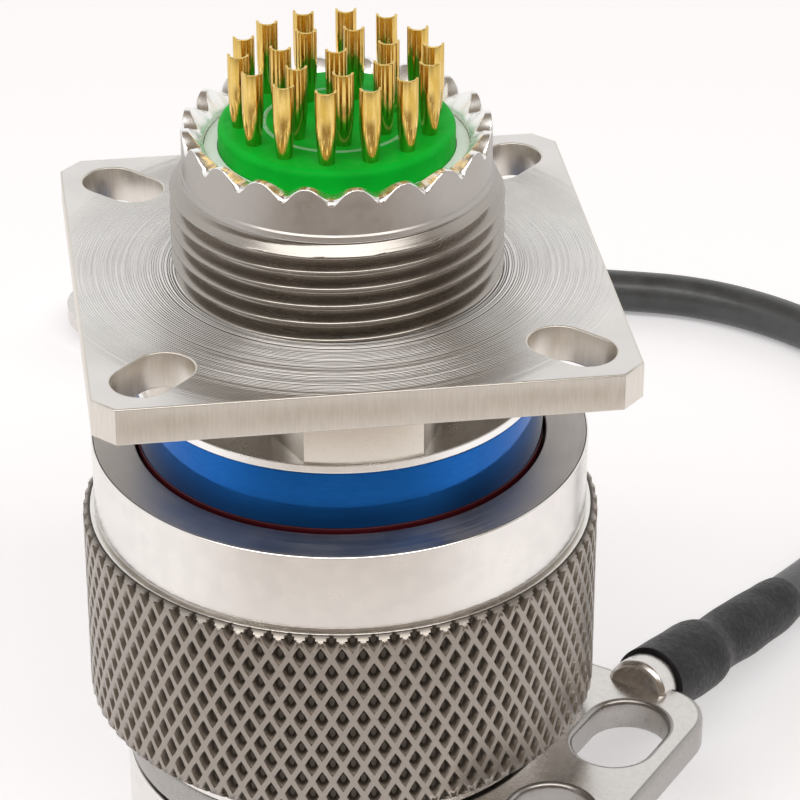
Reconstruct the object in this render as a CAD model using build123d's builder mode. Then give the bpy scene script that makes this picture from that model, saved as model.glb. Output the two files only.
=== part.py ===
"""Square-flange circular receptacle with solder cups, its knurled screw cap and the cap's lanyard.

Millimetres, +Z up. The origin is on the coupling axis, at the underside of the cap's end plate,
so the whole stands on z = 0. The flange's sides run along X and Y.
"""
import os
from math import atan2, cos, degrees, pi, radians, sin, tan

from build123d import *

os.makedirs("parts", exist_ok=True)

# running and seating clearances
SEAT_GAP = 0.02
THREAD_GAP = 0.35
RING_GAP = 0.2
RIM_GAP = 0.15
BORE_GAP = 0.05
SEAL_GAP = 0.1
HOLE_GAP = 0.01

# cap: heights of its parts, from the table up
PLATE_H = 5.3
GROOVE_H = 2.4
BOSS_H = 1.8
KNURL_H = 11.65
SMOOTH_H = 4.65
CAP_DEPTH = 12.4
FLOOR_T = 3.0
PLATE_T = 2.2
GASKET_T = 1.78

# receptacle: heights of its parts, from the mating end up
FRONT_BORE_H = 9.4
MATE_THREAD_H = 9.9
MATE_H = 10.3
RED_H = 0.5
BLUE_H = 3.4
RIM_H = 0.5
POCKET_H = 4.0
FLANGE_T = 2.1
REAR_THREAD_H = 5.5
PILOT_H = 3.0
GREEN_PROUD = 0.05
GREEN_T = 4.65
CUP_H = 4.11
PIN_SETBACK = 4.6
KEYWAY_H = 7.0
RETAINER_T = 3.3

# flange, 28.6 square: its slots reach from a 20.62 to a 23.01 hole pattern
FLANGE_OVER = 3.0
FLANGE_EDGE = 2.795
SLOT_SPAN = 2.39
SLOT_R = 1.625
FLANGE_CORNER = 1.2
LAND_HALF = 2.97
LAND_FLARE = 0.436
LAND_OVER = 1.5

# receptacle radii
R_REAR_THREAD = 9.0
THREAD_CUT = 0.7
THREAD_LEAD_H = 0.65
THREAD_FOOT = 0.08
THREAD_RUNOUT = 0.15
R_REAR_BORE = 7.1
TOOTH_BEVEL = 0.55
TOOTH_BEVEL_H = 1.0
CORE_STEP = 0.1
TEETH = 20
TOOTH_DEPTH = 0.66
R_COLLAR = 11.15
R_NECK = 8.9
R_RIM = 11.3
RIM_EDGE = 0.12
BAND_T = 0.25
FRONT_WALL = 2.05
R_CORE = 7.55
R_GREEN = 6.33
KEYWAY_DEPTH = 0.6
KEYWAYS = ((90, 3.0), (-15, 1.5), (-55, 1.5), (-125, 1.5), (-165, 1.5))

# contacts
OUTER_RING_R, OUTER_COUNT = 5.17, 14
INNER_RING_R, INNER_COUNT = 2.95, 7
R_CUP = 0.575
CUP_WALL = 0.145
CUP_TAPER_H = 2.4
CUP_FLOOR_H = 1.8
CUP_CUT_H = 2.0
R_CUP_NECK = 0.4
R_BODY = 0.5
R_PIN = 0.38
CUP_OPENS_DEG = 82.0
CUP_SWING_DEG = 4.0
SEAL_T = 1.5
SEAL_COLLAR_R, SEAL_COLLAR_H = 0.8, 0.5

# cap radii
CAP_WALL = 2.37
KNURL_PROUD = 0.66
KNURL_COLUMNS = 80
KNURL_HALF_ROWS = 11
KNURL_PIT = 0.34
KNURL_SEAT = 0.5
R_BOSS = 12.5
GROOVE_DEPTH = 2.3
HOLLOW_WALL = 1.8
R_POST = 4.6
R_SPIGOT = 2.5
GASKET_W = 2.8
EDGE = 0.3
MOUTH_EDGE = 0.1

# lanyard ring and its two-eyed ear
RING_W = 2.05
EAR_AZ = -37.9
EAR_HALF = 10.3
EAR_CORNER = 3.0
EAR_BAR = 1.35
EYE_ROOT = 1.0
EYE_W, EYE_LEN, EYE_V = 4.6, 6.6, 4.7
BARREL_H = 4.4
BARREL_ROOT = 3.4
BARREL_WALL = 0.45

# rope, sleeves and far terminal
ROPE_R = 1.5
SLEEVE_WALL = 0.5
SLEEVE_OVER_BARREL = 0.3
NEAR_SLEEVE_START = 1.7
NEAR_SLEEVE_SHOULDER = 0.3
NEAR_SLEEVE_END = 15.5
FAR_SLEEVE_WALL = 0.43
FAR_SLEEVE_FROM, FAR_SLEEVE_TO = 14.0, 6.0
TERMINAL_BARREL_H = 6.0
TERMINAL_Z, TERMINAL_T = 1.3, 1.2
TERMINAL_R, TERMINAL_HOLE_R = 4.1, 1.7
TERMINAL_REACH = 7.4
TERMINAL_NECK, TERMINAL_TAIL = 5.2, 3.2
TERMINAL_SHOULDER = 1.2
VIEW_TURN = radians(-7.9)

# heights above the table that follow
Z_GROOVE_LOW = PLATE_H
Z_GROOVE_TOP = Z_GROOVE_LOW + GROOVE_H
Z_KNURL_LOW = Z_GROOVE_TOP + BOSS_H
Z_KNURL_TOP = Z_KNURL_LOW + KNURL_H
Z_MOUTH = Z_KNURL_TOP + SMOOTH_H
Z_CAP_FLOOR = Z_MOUTH - CAP_DEPTH
Z_HOLLOW_TOP = Z_CAP_FLOOR - FLOOR_T
Z_SHELL_FRONT = Z_CAP_FLOOR + GASKET_T + SEAT_GAP
Z_FRONT_WEB = Z_SHELL_FRONT + FRONT_BORE_H
Z_PIN_TIP = Z_SHELL_FRONT + PIN_SETBACK
Z_THREAD_END = Z_SHELL_FRONT + MATE_THREAD_H
Z_RED_LOW = Z_SHELL_FRONT + MATE_H
Z_BLUE_LOW = Z_RED_LOW + RED_H
Z_BLUE_TOP = Z_BLUE_LOW + BLUE_H
Z_RIM_TOP = Z_BLUE_TOP + RIM_H
Z_FLANGE_LOW = Z_RIM_TOP + POCKET_H
Z_FLANGE_TOP = Z_FLANGE_LOW + FLANGE_T
Z_THREAD_TOP = Z_FLANGE_TOP + REAR_THREAD_H
Z_TEETH_TOP = Z_THREAD_TOP + PILOT_H
Z_GREEN_TOP = Z_TEETH_TOP + GREEN_PROUD
Z_CORE_TOP = Z_GREEN_TOP - GREEN_T
Z_CUP_TOP = Z_GREEN_TOP + CUP_H

# radii and sizes that follow
FLANGE_SIDE = 2 * (R_RIM + FLANGE_OVER)
SLOT_SPACING_MAX = FLANGE_SIDE - 2 * FLANGE_EDGE
SLOT_SPACING_MIN = SLOT_SPACING_MAX - SLOT_SPAN
R_REAR_PILOT = R_REAR_THREAD - THREAD_CUT
R_TOOTH_IN = R_REAR_BORE + TOOTH_BEVEL
R_UNDER_BAND = R_RIM - BAND_T
R_CAP_BORE = R_RIM + RIM_GAP
R_MATE_THREAD = R_CAP_BORE - THREAD_GAP
R_FRONT_BORE = R_MATE_THREAD - FRONT_WALL
R_MID_BORE = R_CORE + BORE_GAP
R_SEAL = R_FRONT_BORE - SEAL_GAP
R_SMOOTH = R_CAP_BORE + CAP_WALL
R_KNURL = R_SMOOTH + KNURL_PROUD
R_KNURL_SEAT = R_KNURL - KNURL_SEAT
R_GROOVE = R_BOSS - GROOVE_DEPTH
R_HOLLOW = R_GROOVE - HOLLOW_WALL
R_RING_IN = R_GROOVE + RING_GAP
R_RING_OUT = R_RING_IN + RING_W
Z_RING_LOW = Z_GROOVE_LOW + RING_GAP
RING_T = GROOVE_H - 2 * RING_GAP
EYE_U = R_RING_OUT + EYE_ROOT + EYE_W / 2
EAR_END = EYE_U + EYE_W / 2 + EAR_BAR
SLEEVE_IN = ROPE_R + HOLE_GAP
BARREL_R = ROPE_R + BARREL_WALL


def polar(r: float, az_deg: float) -> tuple[float, float]:
    """The point at this radius and angle from +X."""
    a = radians(az_deg)
    return r * cos(a), r * sin(a)


def turned_face(points: list[tuple[float, float]], x: float = 0.0, y: float = 0.0) -> Sketch:
    """The closed (radius, height) outline of a turned piece whose axis stands at x, y."""
    upright = Plane(origin=(x, y, 0), x_dir=(1, 0, 0), z_dir=(0, -1, 0))
    with BuildSketch(upright) as face:
        with BuildLine():
            Polyline(*points, close=True)
        make_face()
    return face.sketch


def contact_places() -> list[tuple[float, float]]:
    """Centres of all the contacts: outer ring, inner ring, middle."""
    places = [polar(OUTER_RING_R, 360 / OUTER_COUNT * k) for k in range(OUTER_COUNT)]
    places += [polar(INNER_RING_R, -90 + 360 / INNER_COUNT * k) for k in range(INNER_COUNT)]
    return places + [(0.0, 0.0)]


PLACES = contact_places()

# receptacle shell: front barrel, collar, flange and rear barrel in one piece
with BuildPart() as receptacle_shell:
    revolve(turned_face([
        (R_FRONT_BORE, Z_SHELL_FRONT), (R_MATE_THREAD - THREAD_CUT, Z_SHELL_FRONT),
        (R_MATE_THREAD, Z_SHELL_FRONT + THREAD_CUT), (R_MATE_THREAD, Z_THREAD_END),
        (R_UNDER_BAND - THREAD_GAP, Z_THREAD_END + THREAD_RUNOUT),
        (R_UNDER_BAND - THREAD_GAP, Z_RED_LOW - THREAD_FOOT), (R_UNDER_BAND, Z_RED_LOW), (R_UNDER_BAND, Z_BLUE_TOP),
        (R_RIM, Z_BLUE_TOP), (R_RIM, Z_RIM_TOP - RIM_EDGE), (R_COLLAR, Z_RIM_TOP), (R_COLLAR, Z_FLANGE_TOP),
        (R_REAR_THREAD, Z_FLANGE_TOP), (R_REAR_THREAD, Z_THREAD_TOP - THREAD_LEAD_H),
        (R_REAR_PILOT + THREAD_FOOT, Z_THREAD_TOP), (R_REAR_PILOT, Z_THREAD_TOP + THREAD_FOOT),
        (R_REAR_PILOT, Z_TEETH_TOP), (R_TOOTH_IN, Z_TEETH_TOP), (R_REAR_BORE, Z_TEETH_TOP - TOOTH_BEVEL_H),
        (R_REAR_BORE, Z_CORE_TOP + CORE_STEP), (R_MID_BORE, Z_CORE_TOP + CORE_STEP),
        (R_MID_BORE, Z_FRONT_WEB), (R_FRONT_BORE, Z_FRONT_WEB)]), axis=Axis.Z)
    # flange plate with cut corners
    with BuildSketch(Plane.XY.offset(Z_FLANGE_LOW)):
        square = Rectangle(FLANGE_SIDE, FLANGE_SIDE)
        chamfer(square.vertices(), FLANGE_CORNER)
        Circle(R_REAR_THREAD, mode=Mode.SUBTRACT)
    extrude(amount=FLANGE_T)
    # slotted holes along the diagonals
    slot_run = (SLOT_SPACING_MAX - SLOT_SPACING_MIN) / 2 * 2 ** 0.5
    slot_mid = (SLOT_SPACING_MAX + SLOT_SPACING_MIN) / 4
    with BuildSketch(Plane.XY.offset(Z_FLANGE_LOW)):
        for sx, sy in ((1, 1), (-1, 1), (-1, -1), (1, -1)):
            with Locations((sx * slot_mid, sy * slot_mid)):
                SlotCenterToCenter(slot_run, 2 * SLOT_R, rotation=degrees(atan2(sy, sx)))
    extrude(amount=FLANGE_T, mode=Mode.SUBTRACT)
    # four screw-clearance pockets under the flange, leaving a land at the middle of each side
    land_out, land_in = R_COLLAR + LAND_OVER, R_NECK - LAND_OVER
    half_out = LAND_HALF - LAND_FLARE * (land_out - R_COLLAR)
    half_in = LAND_HALF + LAND_FLARE * (R_COLLAR - land_in)
    with BuildSketch(Plane.XY.offset(Z_RIM_TOP)):
        Circle(R_COLLAR + LAND_OVER)
        Circle(R_NECK, mode=Mode.SUBTRACT)
        for k in range(4):
            corners = ((-half_out, -land_out), (half_out, -land_out), (half_in, -land_in), (-half_in, -land_in))
            with BuildLine():
                Polyline(*[Vector(x, y).rotate(Axis.Z, 90 * k) for x, y in corners], close=True)
            make_face(mode=Mode.SUBTRACT)
    extrude(amount=POCKET_H, mode=Mode.SUBTRACT)
    # accessory teeth: radial notches round the end of the rear barrel
    notch_half = 0.375 * 2 * pi * R_REAR_PILOT / TEETH
    notch_low = Z_TEETH_TOP - TOOTH_DEPTH
    flank = [(0.63 * notch_half, notch_low + 0.83 * TOOTH_DEPTH), (notch_half, Z_TEETH_TOP),
             (notch_half, Z_TEETH_TOP + 0.4)]
    notch_outline = [(-x, z) for x, z in reversed(flank)] + [(0.0, notch_low)] + flank
    for k in range(TEETH):
        az = 360 / TEETH * (k + 0.5)
        notch = Plane(origin=(*polar(R_REAR_BORE - 0.2, az), 0), x_dir=(*polar(1, az + 90), 0), z_dir=(*polar(1, az), 0))
        with BuildSketch(notch):
            with BuildLine():
                Polyline(*notch_outline, close=True)
            make_face()
        extrude(amount=R_REAR_PILOT - R_REAR_BORE + 0.7, mode=Mode.SUBTRACT)
    # keyways inside the front barrel
    with BuildSketch(Plane.XY.offset(Z_SHELL_FRONT)):
        for az, wide in KEYWAYS:
            with Locations(polar(R_FRONT_BORE, az)):
                Rectangle(2 * KEYWAY_DEPTH, wide, rotation=az)
    extrude(amount=KEYWAY_H, mode=Mode.SUBTRACT)

# colour bands on the front barrel
with BuildPart() as blue_band:
    revolve(turned_face([(R_UNDER_BAND, Z_BLUE_LOW), (R_RIM, Z_BLUE_LOW), (R_RIM, Z_BLUE_TOP),
                         (R_UNDER_BAND, Z_BLUE_TOP)]), axis=Axis.Z)
with BuildPart() as red_band:
    revolve(turned_face([(R_UNDER_BAND, Z_RED_LOW), (R_RIM, Z_RED_LOW), (R_RIM, Z_BLUE_LOW),
                         (R_UNDER_BAND, Z_BLUE_LOW)]), axis=Axis.Z)

# green rear insert with a rounded outer edge
with BuildPart() as rear_insert:
    with BuildSketch(Plane.XY.offset(Z_CORE_TOP)):
        Circle(R_GREEN)
        with Locations(*PLACES):
            Circle(R_CUP_NECK + HOLE_GAP, mode=Mode.SUBTRACT)
    extrude(amount=GREEN_T)
    rim = faces().sort_by(Axis.Z)[-1].edges().sort_by(SortBy.LENGTH)[-1]
    fillet(rim, 0.4)

# ring that holds the inserts in the rear bore
with BuildPart() as retaining_ring:
    with BuildSketch(Plane.XY.offset(Z_CORE_TOP)):
        Circle(R_REAR_BORE - SEAT_GAP)
        Circle(R_GREEN + BORE_GAP, mode=Mode.SUBTRACT)
    extrude(amount=RETAINER_T)

# rigid insert that carries the contacts
with BuildPart() as contact_insert:
    with BuildSketch(Plane.XY.offset(Z_FRONT_WEB)):
        Circle(R_CORE)
        with Locations(*PLACES):
            Circle(R_BODY + HOLE_GAP, mode=Mode.SUBTRACT)
    extrude(amount=Z_CORE_TOP - Z_FRONT_WEB)

# soft face seal with a raised collar round each pin
with BuildPart() as interface_seal:
    with BuildSketch(Plane.XY.offset(Z_FRONT_WEB - SEAL_T)):
        Circle(R_SEAL)
    extrude(amount=SEAL_T)
    chamfer(edges().filter_by(GeomType.CIRCLE).sort_by(Axis.Z)[0], 0.4)
    with BuildSketch(Plane.XY.offset(Z_FRONT_WEB - SEAL_T)):
        with Locations(*PLACES):
            Circle(SEAL_COLLAR_R)
    extrude(amount=-SEAL_COLLAR_H)
    with BuildSketch(Plane.XY.offset(Z_FRONT_WEB)):
        with Locations(*PLACES):
            Circle(R_PIN + HOLE_GAP)
    extrude(amount=-SEAL_T - SEAL_COLLAR_H, mode=Mode.SUBTRACT)


def contact_at(number: int, x: float, y: float) -> Part:
    """A contact: pin at the front, half-open solder cup at the rear, turned a little by its number."""
    swing = (number * 7 % 5 - 2) * CUP_SWING_DEG
    bore = R_CUP - CUP_WALL
    cup_low, cup_full, floor = Z_GREEN_TOP + 0.15, Z_GREEN_TOP + CUP_TAPER_H, Z_GREEN_TOP + CUP_FLOOR_H
    with BuildPart() as contact:
        revolve(turned_face([
            (0, Z_PIN_TIP), (R_PIN - 0.18, Z_PIN_TIP), (R_PIN, Z_PIN_TIP + 0.3), (R_PIN, Z_FRONT_WEB),
            (R_BODY, Z_FRONT_WEB), (R_BODY, Z_CORE_TOP), (R_CUP_NECK, Z_CORE_TOP), (R_CUP_NECK, cup_low),
            (R_CUP, cup_full), (R_CUP, Z_CUP_TOP), (bore, Z_CUP_TOP), (bore, floor - 0.05), (0, floor - 0.3)],
            x, y), axis=Axis((x, y, 0), (0, 0, 1)))
        # the side of the cup that the wire lies in is cut away to just short of the middle
        with BuildSketch(Plane.XY.offset(Z_GREEN_TOP + CUP_CUT_H)):
            ox, oy = polar(R_CUP + 0.175, CUP_OPENS_DEG + swing)
            with Locations((x + ox, y + oy)):
                Rectangle(2 * R_CUP + 0.25, 2 * R_CUP + 0.25, rotation=CUP_OPENS_DEG + swing)
        extrude(amount=CUP_H, mode=Mode.SUBTRACT)
    return contact.part


contacts = {f"contact_{i:02d}": contact_at(i, x, y) for i, (x, y) in enumerate(PLACES, 1)}


def knurl_ring() -> Solid:
    """The knurled band: rhombic pits between crossing ridges, each pit four flat facets from ridge to pit."""
    low, high, around = Z_KNURL_LOW + EDGE, Z_KNURL_TOP - EDGE, 2 * KNURL_COLUMNS
    rows = [[Vector(*polar(R_KNURL - KNURL_PIT * ((i + j + 1) % 2), 180 / KNURL_COLUMNS * i),
                    low + (high - low) * j / KNURL_HALF_ROWS) for i in range(around)]
            for j in range(KNURL_HALF_ROWS + 1)]
    faces = []
    for j, (lower, upper) in enumerate(zip(rows, rows[1:])):
        for i in range(around):
            a, b, c, d = lower[i - 1], lower[i], upper[i], upper[i - 1]
            ridge_rises = (i - 1 + j) % 2
            for corners in ((a, b, c), (a, c, d)) if ridge_rises else ((a, b, d), (b, c, d)):
                faces.append(Face(Wire.make_polygon(corners, close=True)))
    for row, z in ((rows[0], low), (rows[-1], high)):
        faces.append(Face(Wire.make_polygon(row, close=True), [Wire.make_circle(R_KNURL_SEAT, Plane.XY.offset(z))]))
    seat = Solid.make_cylinder(R_KNURL_SEAT, high - low, Plane.XY.offset(low))
    faces += seat.faces().filter_by(GeomType.CYLINDER)
    return Solid(Shell(faces))


# knurled screw cap, hollow under its floor
with BuildPart() as cap_shell:
    revolve(turned_face([
        (0, Z_CAP_FLOOR), (R_CAP_BORE, Z_CAP_FLOOR), (R_CAP_BORE, Z_MOUTH - MOUTH_EDGE),
        (R_CAP_BORE + MOUTH_EDGE, Z_MOUTH), (R_SMOOTH - MOUTH_EDGE, Z_MOUTH), (R_SMOOTH, Z_MOUTH - MOUTH_EDGE),
        (R_SMOOTH, Z_KNURL_TOP), (R_KNURL - EDGE, Z_KNURL_TOP), (R_KNURL, Z_KNURL_TOP - EDGE), (R_KNURL_SEAT, Z_KNURL_TOP - EDGE),
        (R_KNURL_SEAT, Z_KNURL_LOW + EDGE), (R_KNURL, Z_KNURL_LOW + EDGE),
        (R_KNURL - EDGE, Z_KNURL_LOW), (R_BOSS, Z_KNURL_LOW), (R_BOSS, Z_GROOVE_TOP), (R_GROOVE, Z_GROOVE_TOP),
        (R_GROOVE, Z_GROOVE_LOW), (R_HOLLOW, Z_GROOVE_LOW), (R_HOLLOW, Z_HOLLOW_TOP), (R_POST, Z_HOLLOW_TOP),
        (R_POST, Z_GROOVE_LOW), (R_SPIGOT, Z_GROOVE_LOW), (R_SPIGOT, Z_HOLLOW_TOP), (0, Z_HOLLOW_TOP)]), axis=Axis.Z)
    add(knurl_ring())

# flat gasket on the cap's floor, where the receptacle's front edge seats
with BuildPart() as cap_gasket:
    with BuildSketch(Plane.XY.offset(Z_CAP_FLOOR)):
        Circle(R_CAP_BORE - BORE_GAP)
        Circle(R_CAP_BORE - GASKET_W, mode=Mode.SUBTRACT)
    extrude(amount=GASKET_T)

# end plate that closes the cap's boss and keeps the lanyard ring in its groove
with BuildPart() as cap_end_plate:
    revolve(turned_face([
        (0, 0), (R_BOSS - 0.5, 0), (R_BOSS, 0.5), (R_BOSS, Z_GROOVE_LOW), (R_HOLLOW, Z_GROOVE_LOW),
        (R_HOLLOW, PLATE_T), (R_POST, PLATE_T), (R_POST, Z_GROOVE_LOW), (R_SPIGOT - HOLE_GAP, Z_GROOVE_LOW),
        (R_SPIGOT - HOLE_GAP, Z_HOLLOW_TOP - 0.5), (R_SPIGOT - 0.3, Z_HOLLOW_TOP - RING_GAP),
        (0, Z_HOLLOW_TOP - RING_GAP)]), axis=Axis.Z)


def in_ear(u: float, v: float) -> Vector:
    """The point this far out along the ear and this far across it."""
    return Vector(u, v).rotate(Axis.Z, EAR_AZ)


def view_square(x: float, y: float, z: float) -> Vector:
    """The point at x, y in axes turned by VIEW_TURN about Z."""
    return Vector(x, y, z).rotate(Axis.Z, degrees(VIEW_TURN))


# the rope's route: corners of a broken line whose bends are rounded by tangent arcs
ROUTE = [view_square(*p) for p in (
    (18.9, 3.4, 6.5), (24.4, 11.6, 4.45), (30.6, 21.4, 2.3), (36.8, 30.2, 1.6), (39.7, 40.8, 1.53),
    (36.6, 51.2, 1.53), (27.4, 59.2, 1.53), (17.0, 60.8, 1.6), (2.5, 61.3, 1.98), (-9.5, 58.7, 2.02))]


def bend_radii(points: list[Vector]) -> list[float]:
    """Radius of each bend: 0.45 of the shorter run beside it over the tangent of half its turn."""
    out = []
    for a, b, c in zip(points, points[1:], points[2:]):
        before, after = b - a, c - b
        half_turn = radians(before.get_angle(after)) / 2
        out.append(0.45 * min(before.length, after.length) / tan(half_turn))
    return out


RADII = bend_radii(ROUTE)
print("rope bend radii", [round(r, 1) for r in RADII])
with BuildLine() as rope_line:
    FilletPolyline(*ROUTE, radius=RADII)
rope_path = rope_line.wires()[0]
ROPE_LENGTH = rope_path.length
print("rope length", round(ROPE_LENGTH, 2))
START_DIR = (ROUTE[1] - ROUTE[0]).normalized()
END_DIR = (ROUTE[-1] - ROUTE[-2]).normalized()


def along(start: float, end: float, outer: float, inner: float = 0.0) -> Part:
    """A round bar or tube on the rope's route, between two lengths along it."""
    stretch = rope_path.trim(start / ROPE_LENGTH, end / ROPE_LENGTH)
    with BuildPart() as bar:
        with BuildLine():
            add(stretch)
        with BuildSketch(Plane(origin=stretch @ 0, z_dir=stretch % 0)):
            Circle(outer)
            if inner:
                Circle(inner, mode=Mode.SUBTRACT)
        sweep()
    return bar.part


lanyard_rope = along(0, ROPE_LENGTH, ROPE_R)
print("rope volume", round(lanyard_rope.volume, 1), "section x length", round(pi * ROPE_R ** 2 * ROPE_LENGTH, 1))

# flat ring that swivels in the boss's groove, with a two-eyed ear and a crimp barrel on the ear's side
with BuildPart() as swivel_ring:
    with BuildSketch(Plane.XY.offset(Z_RING_LOW)):
        with BuildLine():
            Polyline(in_ear(0, -EAR_HALF), in_ear(EAR_END, -EAR_HALF), in_ear(EAR_END, EAR_HALF),
                     in_ear(0, EAR_HALF), close=True)
        make_face()
        fillet(vertices().sort_by_distance((0, 0, 0))[-2:], EAR_CORNER)
        Circle(R_RING_OUT)
        for side in (-1, 1):
            with Locations(in_ear(EYE_U, side * EYE_V)):
                SlotOverall(EYE_LEN, EYE_W, rotation=EAR_AZ + 90, mode=Mode.SUBTRACT)
        Circle(R_RING_IN, mode=Mode.SUBTRACT)
    extrude(amount=RING_T)
    with BuildSketch(Plane(origin=ROUTE[0] - START_DIR * BARREL_ROOT, z_dir=START_DIR)):
        Circle(BARREL_R)
    extrude(amount=BARREL_H + BARREL_ROOT)
    with BuildSketch(Plane(origin=ROUTE[0], z_dir=START_DIR)):
        Circle(SLEEVE_IN)
    extrude(amount=BARREL_H, mode=Mode.SUBTRACT)

# black sleeves shrunk over the rope beside each metal end
with BuildPart() as near_sleeve:
    add(along(BARREL_H, NEAR_SLEEVE_END, ROPE_R + SLEEVE_WALL, SLEEVE_IN))
    with BuildSketch(Plane(origin=ROUTE[0] - START_DIR * NEAR_SLEEVE_START, z_dir=START_DIR)):
        Circle(BARREL_R + SLEEVE_OVER_BARREL)
        Circle(BARREL_R + HOLE_GAP, mode=Mode.SUBTRACT)
    extrude(amount=NEAR_SLEEVE_START + BARREL_H)
    with BuildSketch(Plane(origin=ROUTE[0] + START_DIR * BARREL_H, z_dir=START_DIR)):
        Circle(BARREL_R + SLEEVE_OVER_BARREL)
        Circle(SLEEVE_IN, mode=Mode.SUBTRACT)
    extrude(amount=NEAR_SLEEVE_SHOULDER)
far_sleeve = along(ROPE_LENGTH - FAR_SLEEVE_FROM, ROPE_LENGTH - FAR_SLEEVE_TO, ROPE_R + FAR_SLEEVE_WALL, SLEEVE_IN)

# far end: crimped ring terminal
with BuildPart() as far_terminal:
    flat = Vector(END_DIR.X, END_DIR.Y).normalized()
    end = ROUTE[-1]
    eye = Vector(end.X, end.Y) + flat * TERMINAL_REACH
    with BuildSketch(Plane(origin=end + END_DIR * TERMINAL_SHOULDER, z_dir=-END_DIR)):
        Circle(BARREL_R)
    extrude(amount=TERMINAL_BARREL_H + TERMINAL_SHOULDER)
    with BuildSketch(Plane(origin=end, z_dir=-END_DIR)):
        Circle(SLEEVE_IN)
    extrude(amount=TERMINAL_BARREL_H, mode=Mode.SUBTRACT)
    with BuildSketch(Plane(origin=(end.X, end.Y, TERMINAL_Z), x_dir=flat)):
        with BuildLine():
            neck_end = TERMINAL_REACH - TERMINAL_R + TERMINAL_NECK / 2
            Polyline((0.4, -TERMINAL_TAIL / 2), (neck_end, -TERMINAL_NECK / 2), (neck_end, TERMINAL_NECK / 2),
                     (0.4, TERMINAL_TAIL / 2), close=True)
        make_face()
        with Locations((TERMINAL_REACH, 0)):
            Circle(TERMINAL_R)
            Circle(TERMINAL_HOLE_R, mode=Mode.SUBTRACT)
    extrude(amount=TERMINAL_T)
print("terminal eye", eye)

PIECES = {
    "receptacle_shell": receptacle_shell.part, "blue_band": blue_band.part, "red_band": red_band.part,
    "rear_insert": rear_insert.part, "retaining_ring": retaining_ring.part,
    "contact_insert": contact_insert.part, "interface_seal": interface_seal.part, **contacts,
    "cap_shell": cap_shell.part, "cap_gasket": cap_gasket.part, "cap_end_plate": cap_end_plate.part,
    "swivel_ring": swivel_ring.part, "lanyard_rope": lanyard_rope, "near_sleeve": near_sleeve.part,
    "far_sleeve": far_sleeve, "far_terminal": far_terminal.part}
for name, piece in PIECES.items():
    piece.label = name
    export_step(piece, f"parts/{name}.step")
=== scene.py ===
"""Looks of a circular connector: its metal finishes, threads, knurl, solder cups, bands and lanyard.

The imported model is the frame, in metres. Sizes here are in millimetres, and turn into metres as a mesh is
made. Heights are above the table.
"""
from __future__ import annotations

import logging
import math
from dataclasses import dataclass, field
from enum import Enum
from typing import Callable, Sequence

import bmesh
import bpy
import numpy as np
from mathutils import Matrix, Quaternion, Vector
from mathutils.geometry import tessellate_polygon

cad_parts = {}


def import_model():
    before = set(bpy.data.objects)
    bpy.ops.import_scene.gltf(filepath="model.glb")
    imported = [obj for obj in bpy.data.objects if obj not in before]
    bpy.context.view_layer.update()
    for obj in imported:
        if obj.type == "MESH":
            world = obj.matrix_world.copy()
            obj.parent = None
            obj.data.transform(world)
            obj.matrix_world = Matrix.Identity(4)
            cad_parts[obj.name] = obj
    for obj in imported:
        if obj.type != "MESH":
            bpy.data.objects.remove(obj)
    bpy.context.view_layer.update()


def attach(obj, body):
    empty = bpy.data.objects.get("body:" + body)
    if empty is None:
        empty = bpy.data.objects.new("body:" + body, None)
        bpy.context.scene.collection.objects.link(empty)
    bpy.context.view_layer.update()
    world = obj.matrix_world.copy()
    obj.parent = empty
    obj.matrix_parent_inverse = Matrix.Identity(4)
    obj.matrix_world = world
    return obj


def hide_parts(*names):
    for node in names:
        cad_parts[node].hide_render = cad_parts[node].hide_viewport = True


MM = 0.001
TURN = 2 * math.pi
VIEW_TURN_DEG = -7.9  # How far the photograph's square axes are turned from the frame's
HOLD = 0.03  # How close to a corner the points stand that keep it crisp
THREAD_STEPS = 240  # Faces round a thread
MERGE = 0.0005  # Points closer than this become one
HAIR = 0.02  # A step too small to see, which keeps faces from lying in one place
LOG = logging.getLogger("connector")

Point = tuple[float, float]
Colour = tuple[float, float, float]
Place = tuple[float, float, float]
Outline = Callable[[float], np.ndarray]


class Sock:
    """One output of a node, with Python's operators for the numbers that it carries."""

    def __init__(self, tree: "Tree", socket: bpy.types.NodeSocket) -> None:
        """Wraps a socket of a tree."""
        self.tree = tree
        self.socket = socket

    def out(self, name: str | int) -> "Sock":
        """Another output of the same node."""
        return Sock(self.tree, self.socket.node.outputs[name])

    def math(self, operation: str, *others: "Sock | float") -> "Sock":
        """A Math node on this value and others."""
        return self.tree.node("ShaderNodeMath", {"operation": operation}, dict(enumerate((self, *others))))

    def swapped(self, operation: str, other: float) -> "Sock":
        """A Math node with a number first and this value second."""
        return self.tree.node("ShaderNodeMath", {"operation": operation}, {0: other, 1: self})

    def __add__(self, other: "Sock | float") -> "Sock":
        """Sum."""
        return self.math("ADD", other)

    __radd__ = __add__

    def __sub__(self, other: "Sock | float") -> "Sock":
        """Difference."""
        return self.math("SUBTRACT", other)

    def __rsub__(self, other: float) -> "Sock":
        """Difference from a number."""
        return self.swapped("SUBTRACT", other)

    def __mul__(self, other: "Sock | float") -> "Sock":
        """Product."""
        return self.math("MULTIPLY", other)

    __rmul__ = __mul__

    def __truediv__(self, other: "Sock | float") -> "Sock":
        """Quotient."""
        return self.math("DIVIDE", other)

    def __pow__(self, other: float) -> "Sock":
        """Power."""
        return self.math("POWER", other)

    def span(self, low: float, high: float, to_low: float = 0.0, to_high: float = 1.0) -> "Sock":
        """This value, eased from the range low to high into the range to_low to to_high."""
        return self.tree.node("ShaderNodeMapRange", {"interpolation_type": "SMOOTHSTEP"}, {
            "Value": self, "From Min": low, "From Max": high, "To Min": to_low, "To Max": to_high})


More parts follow.
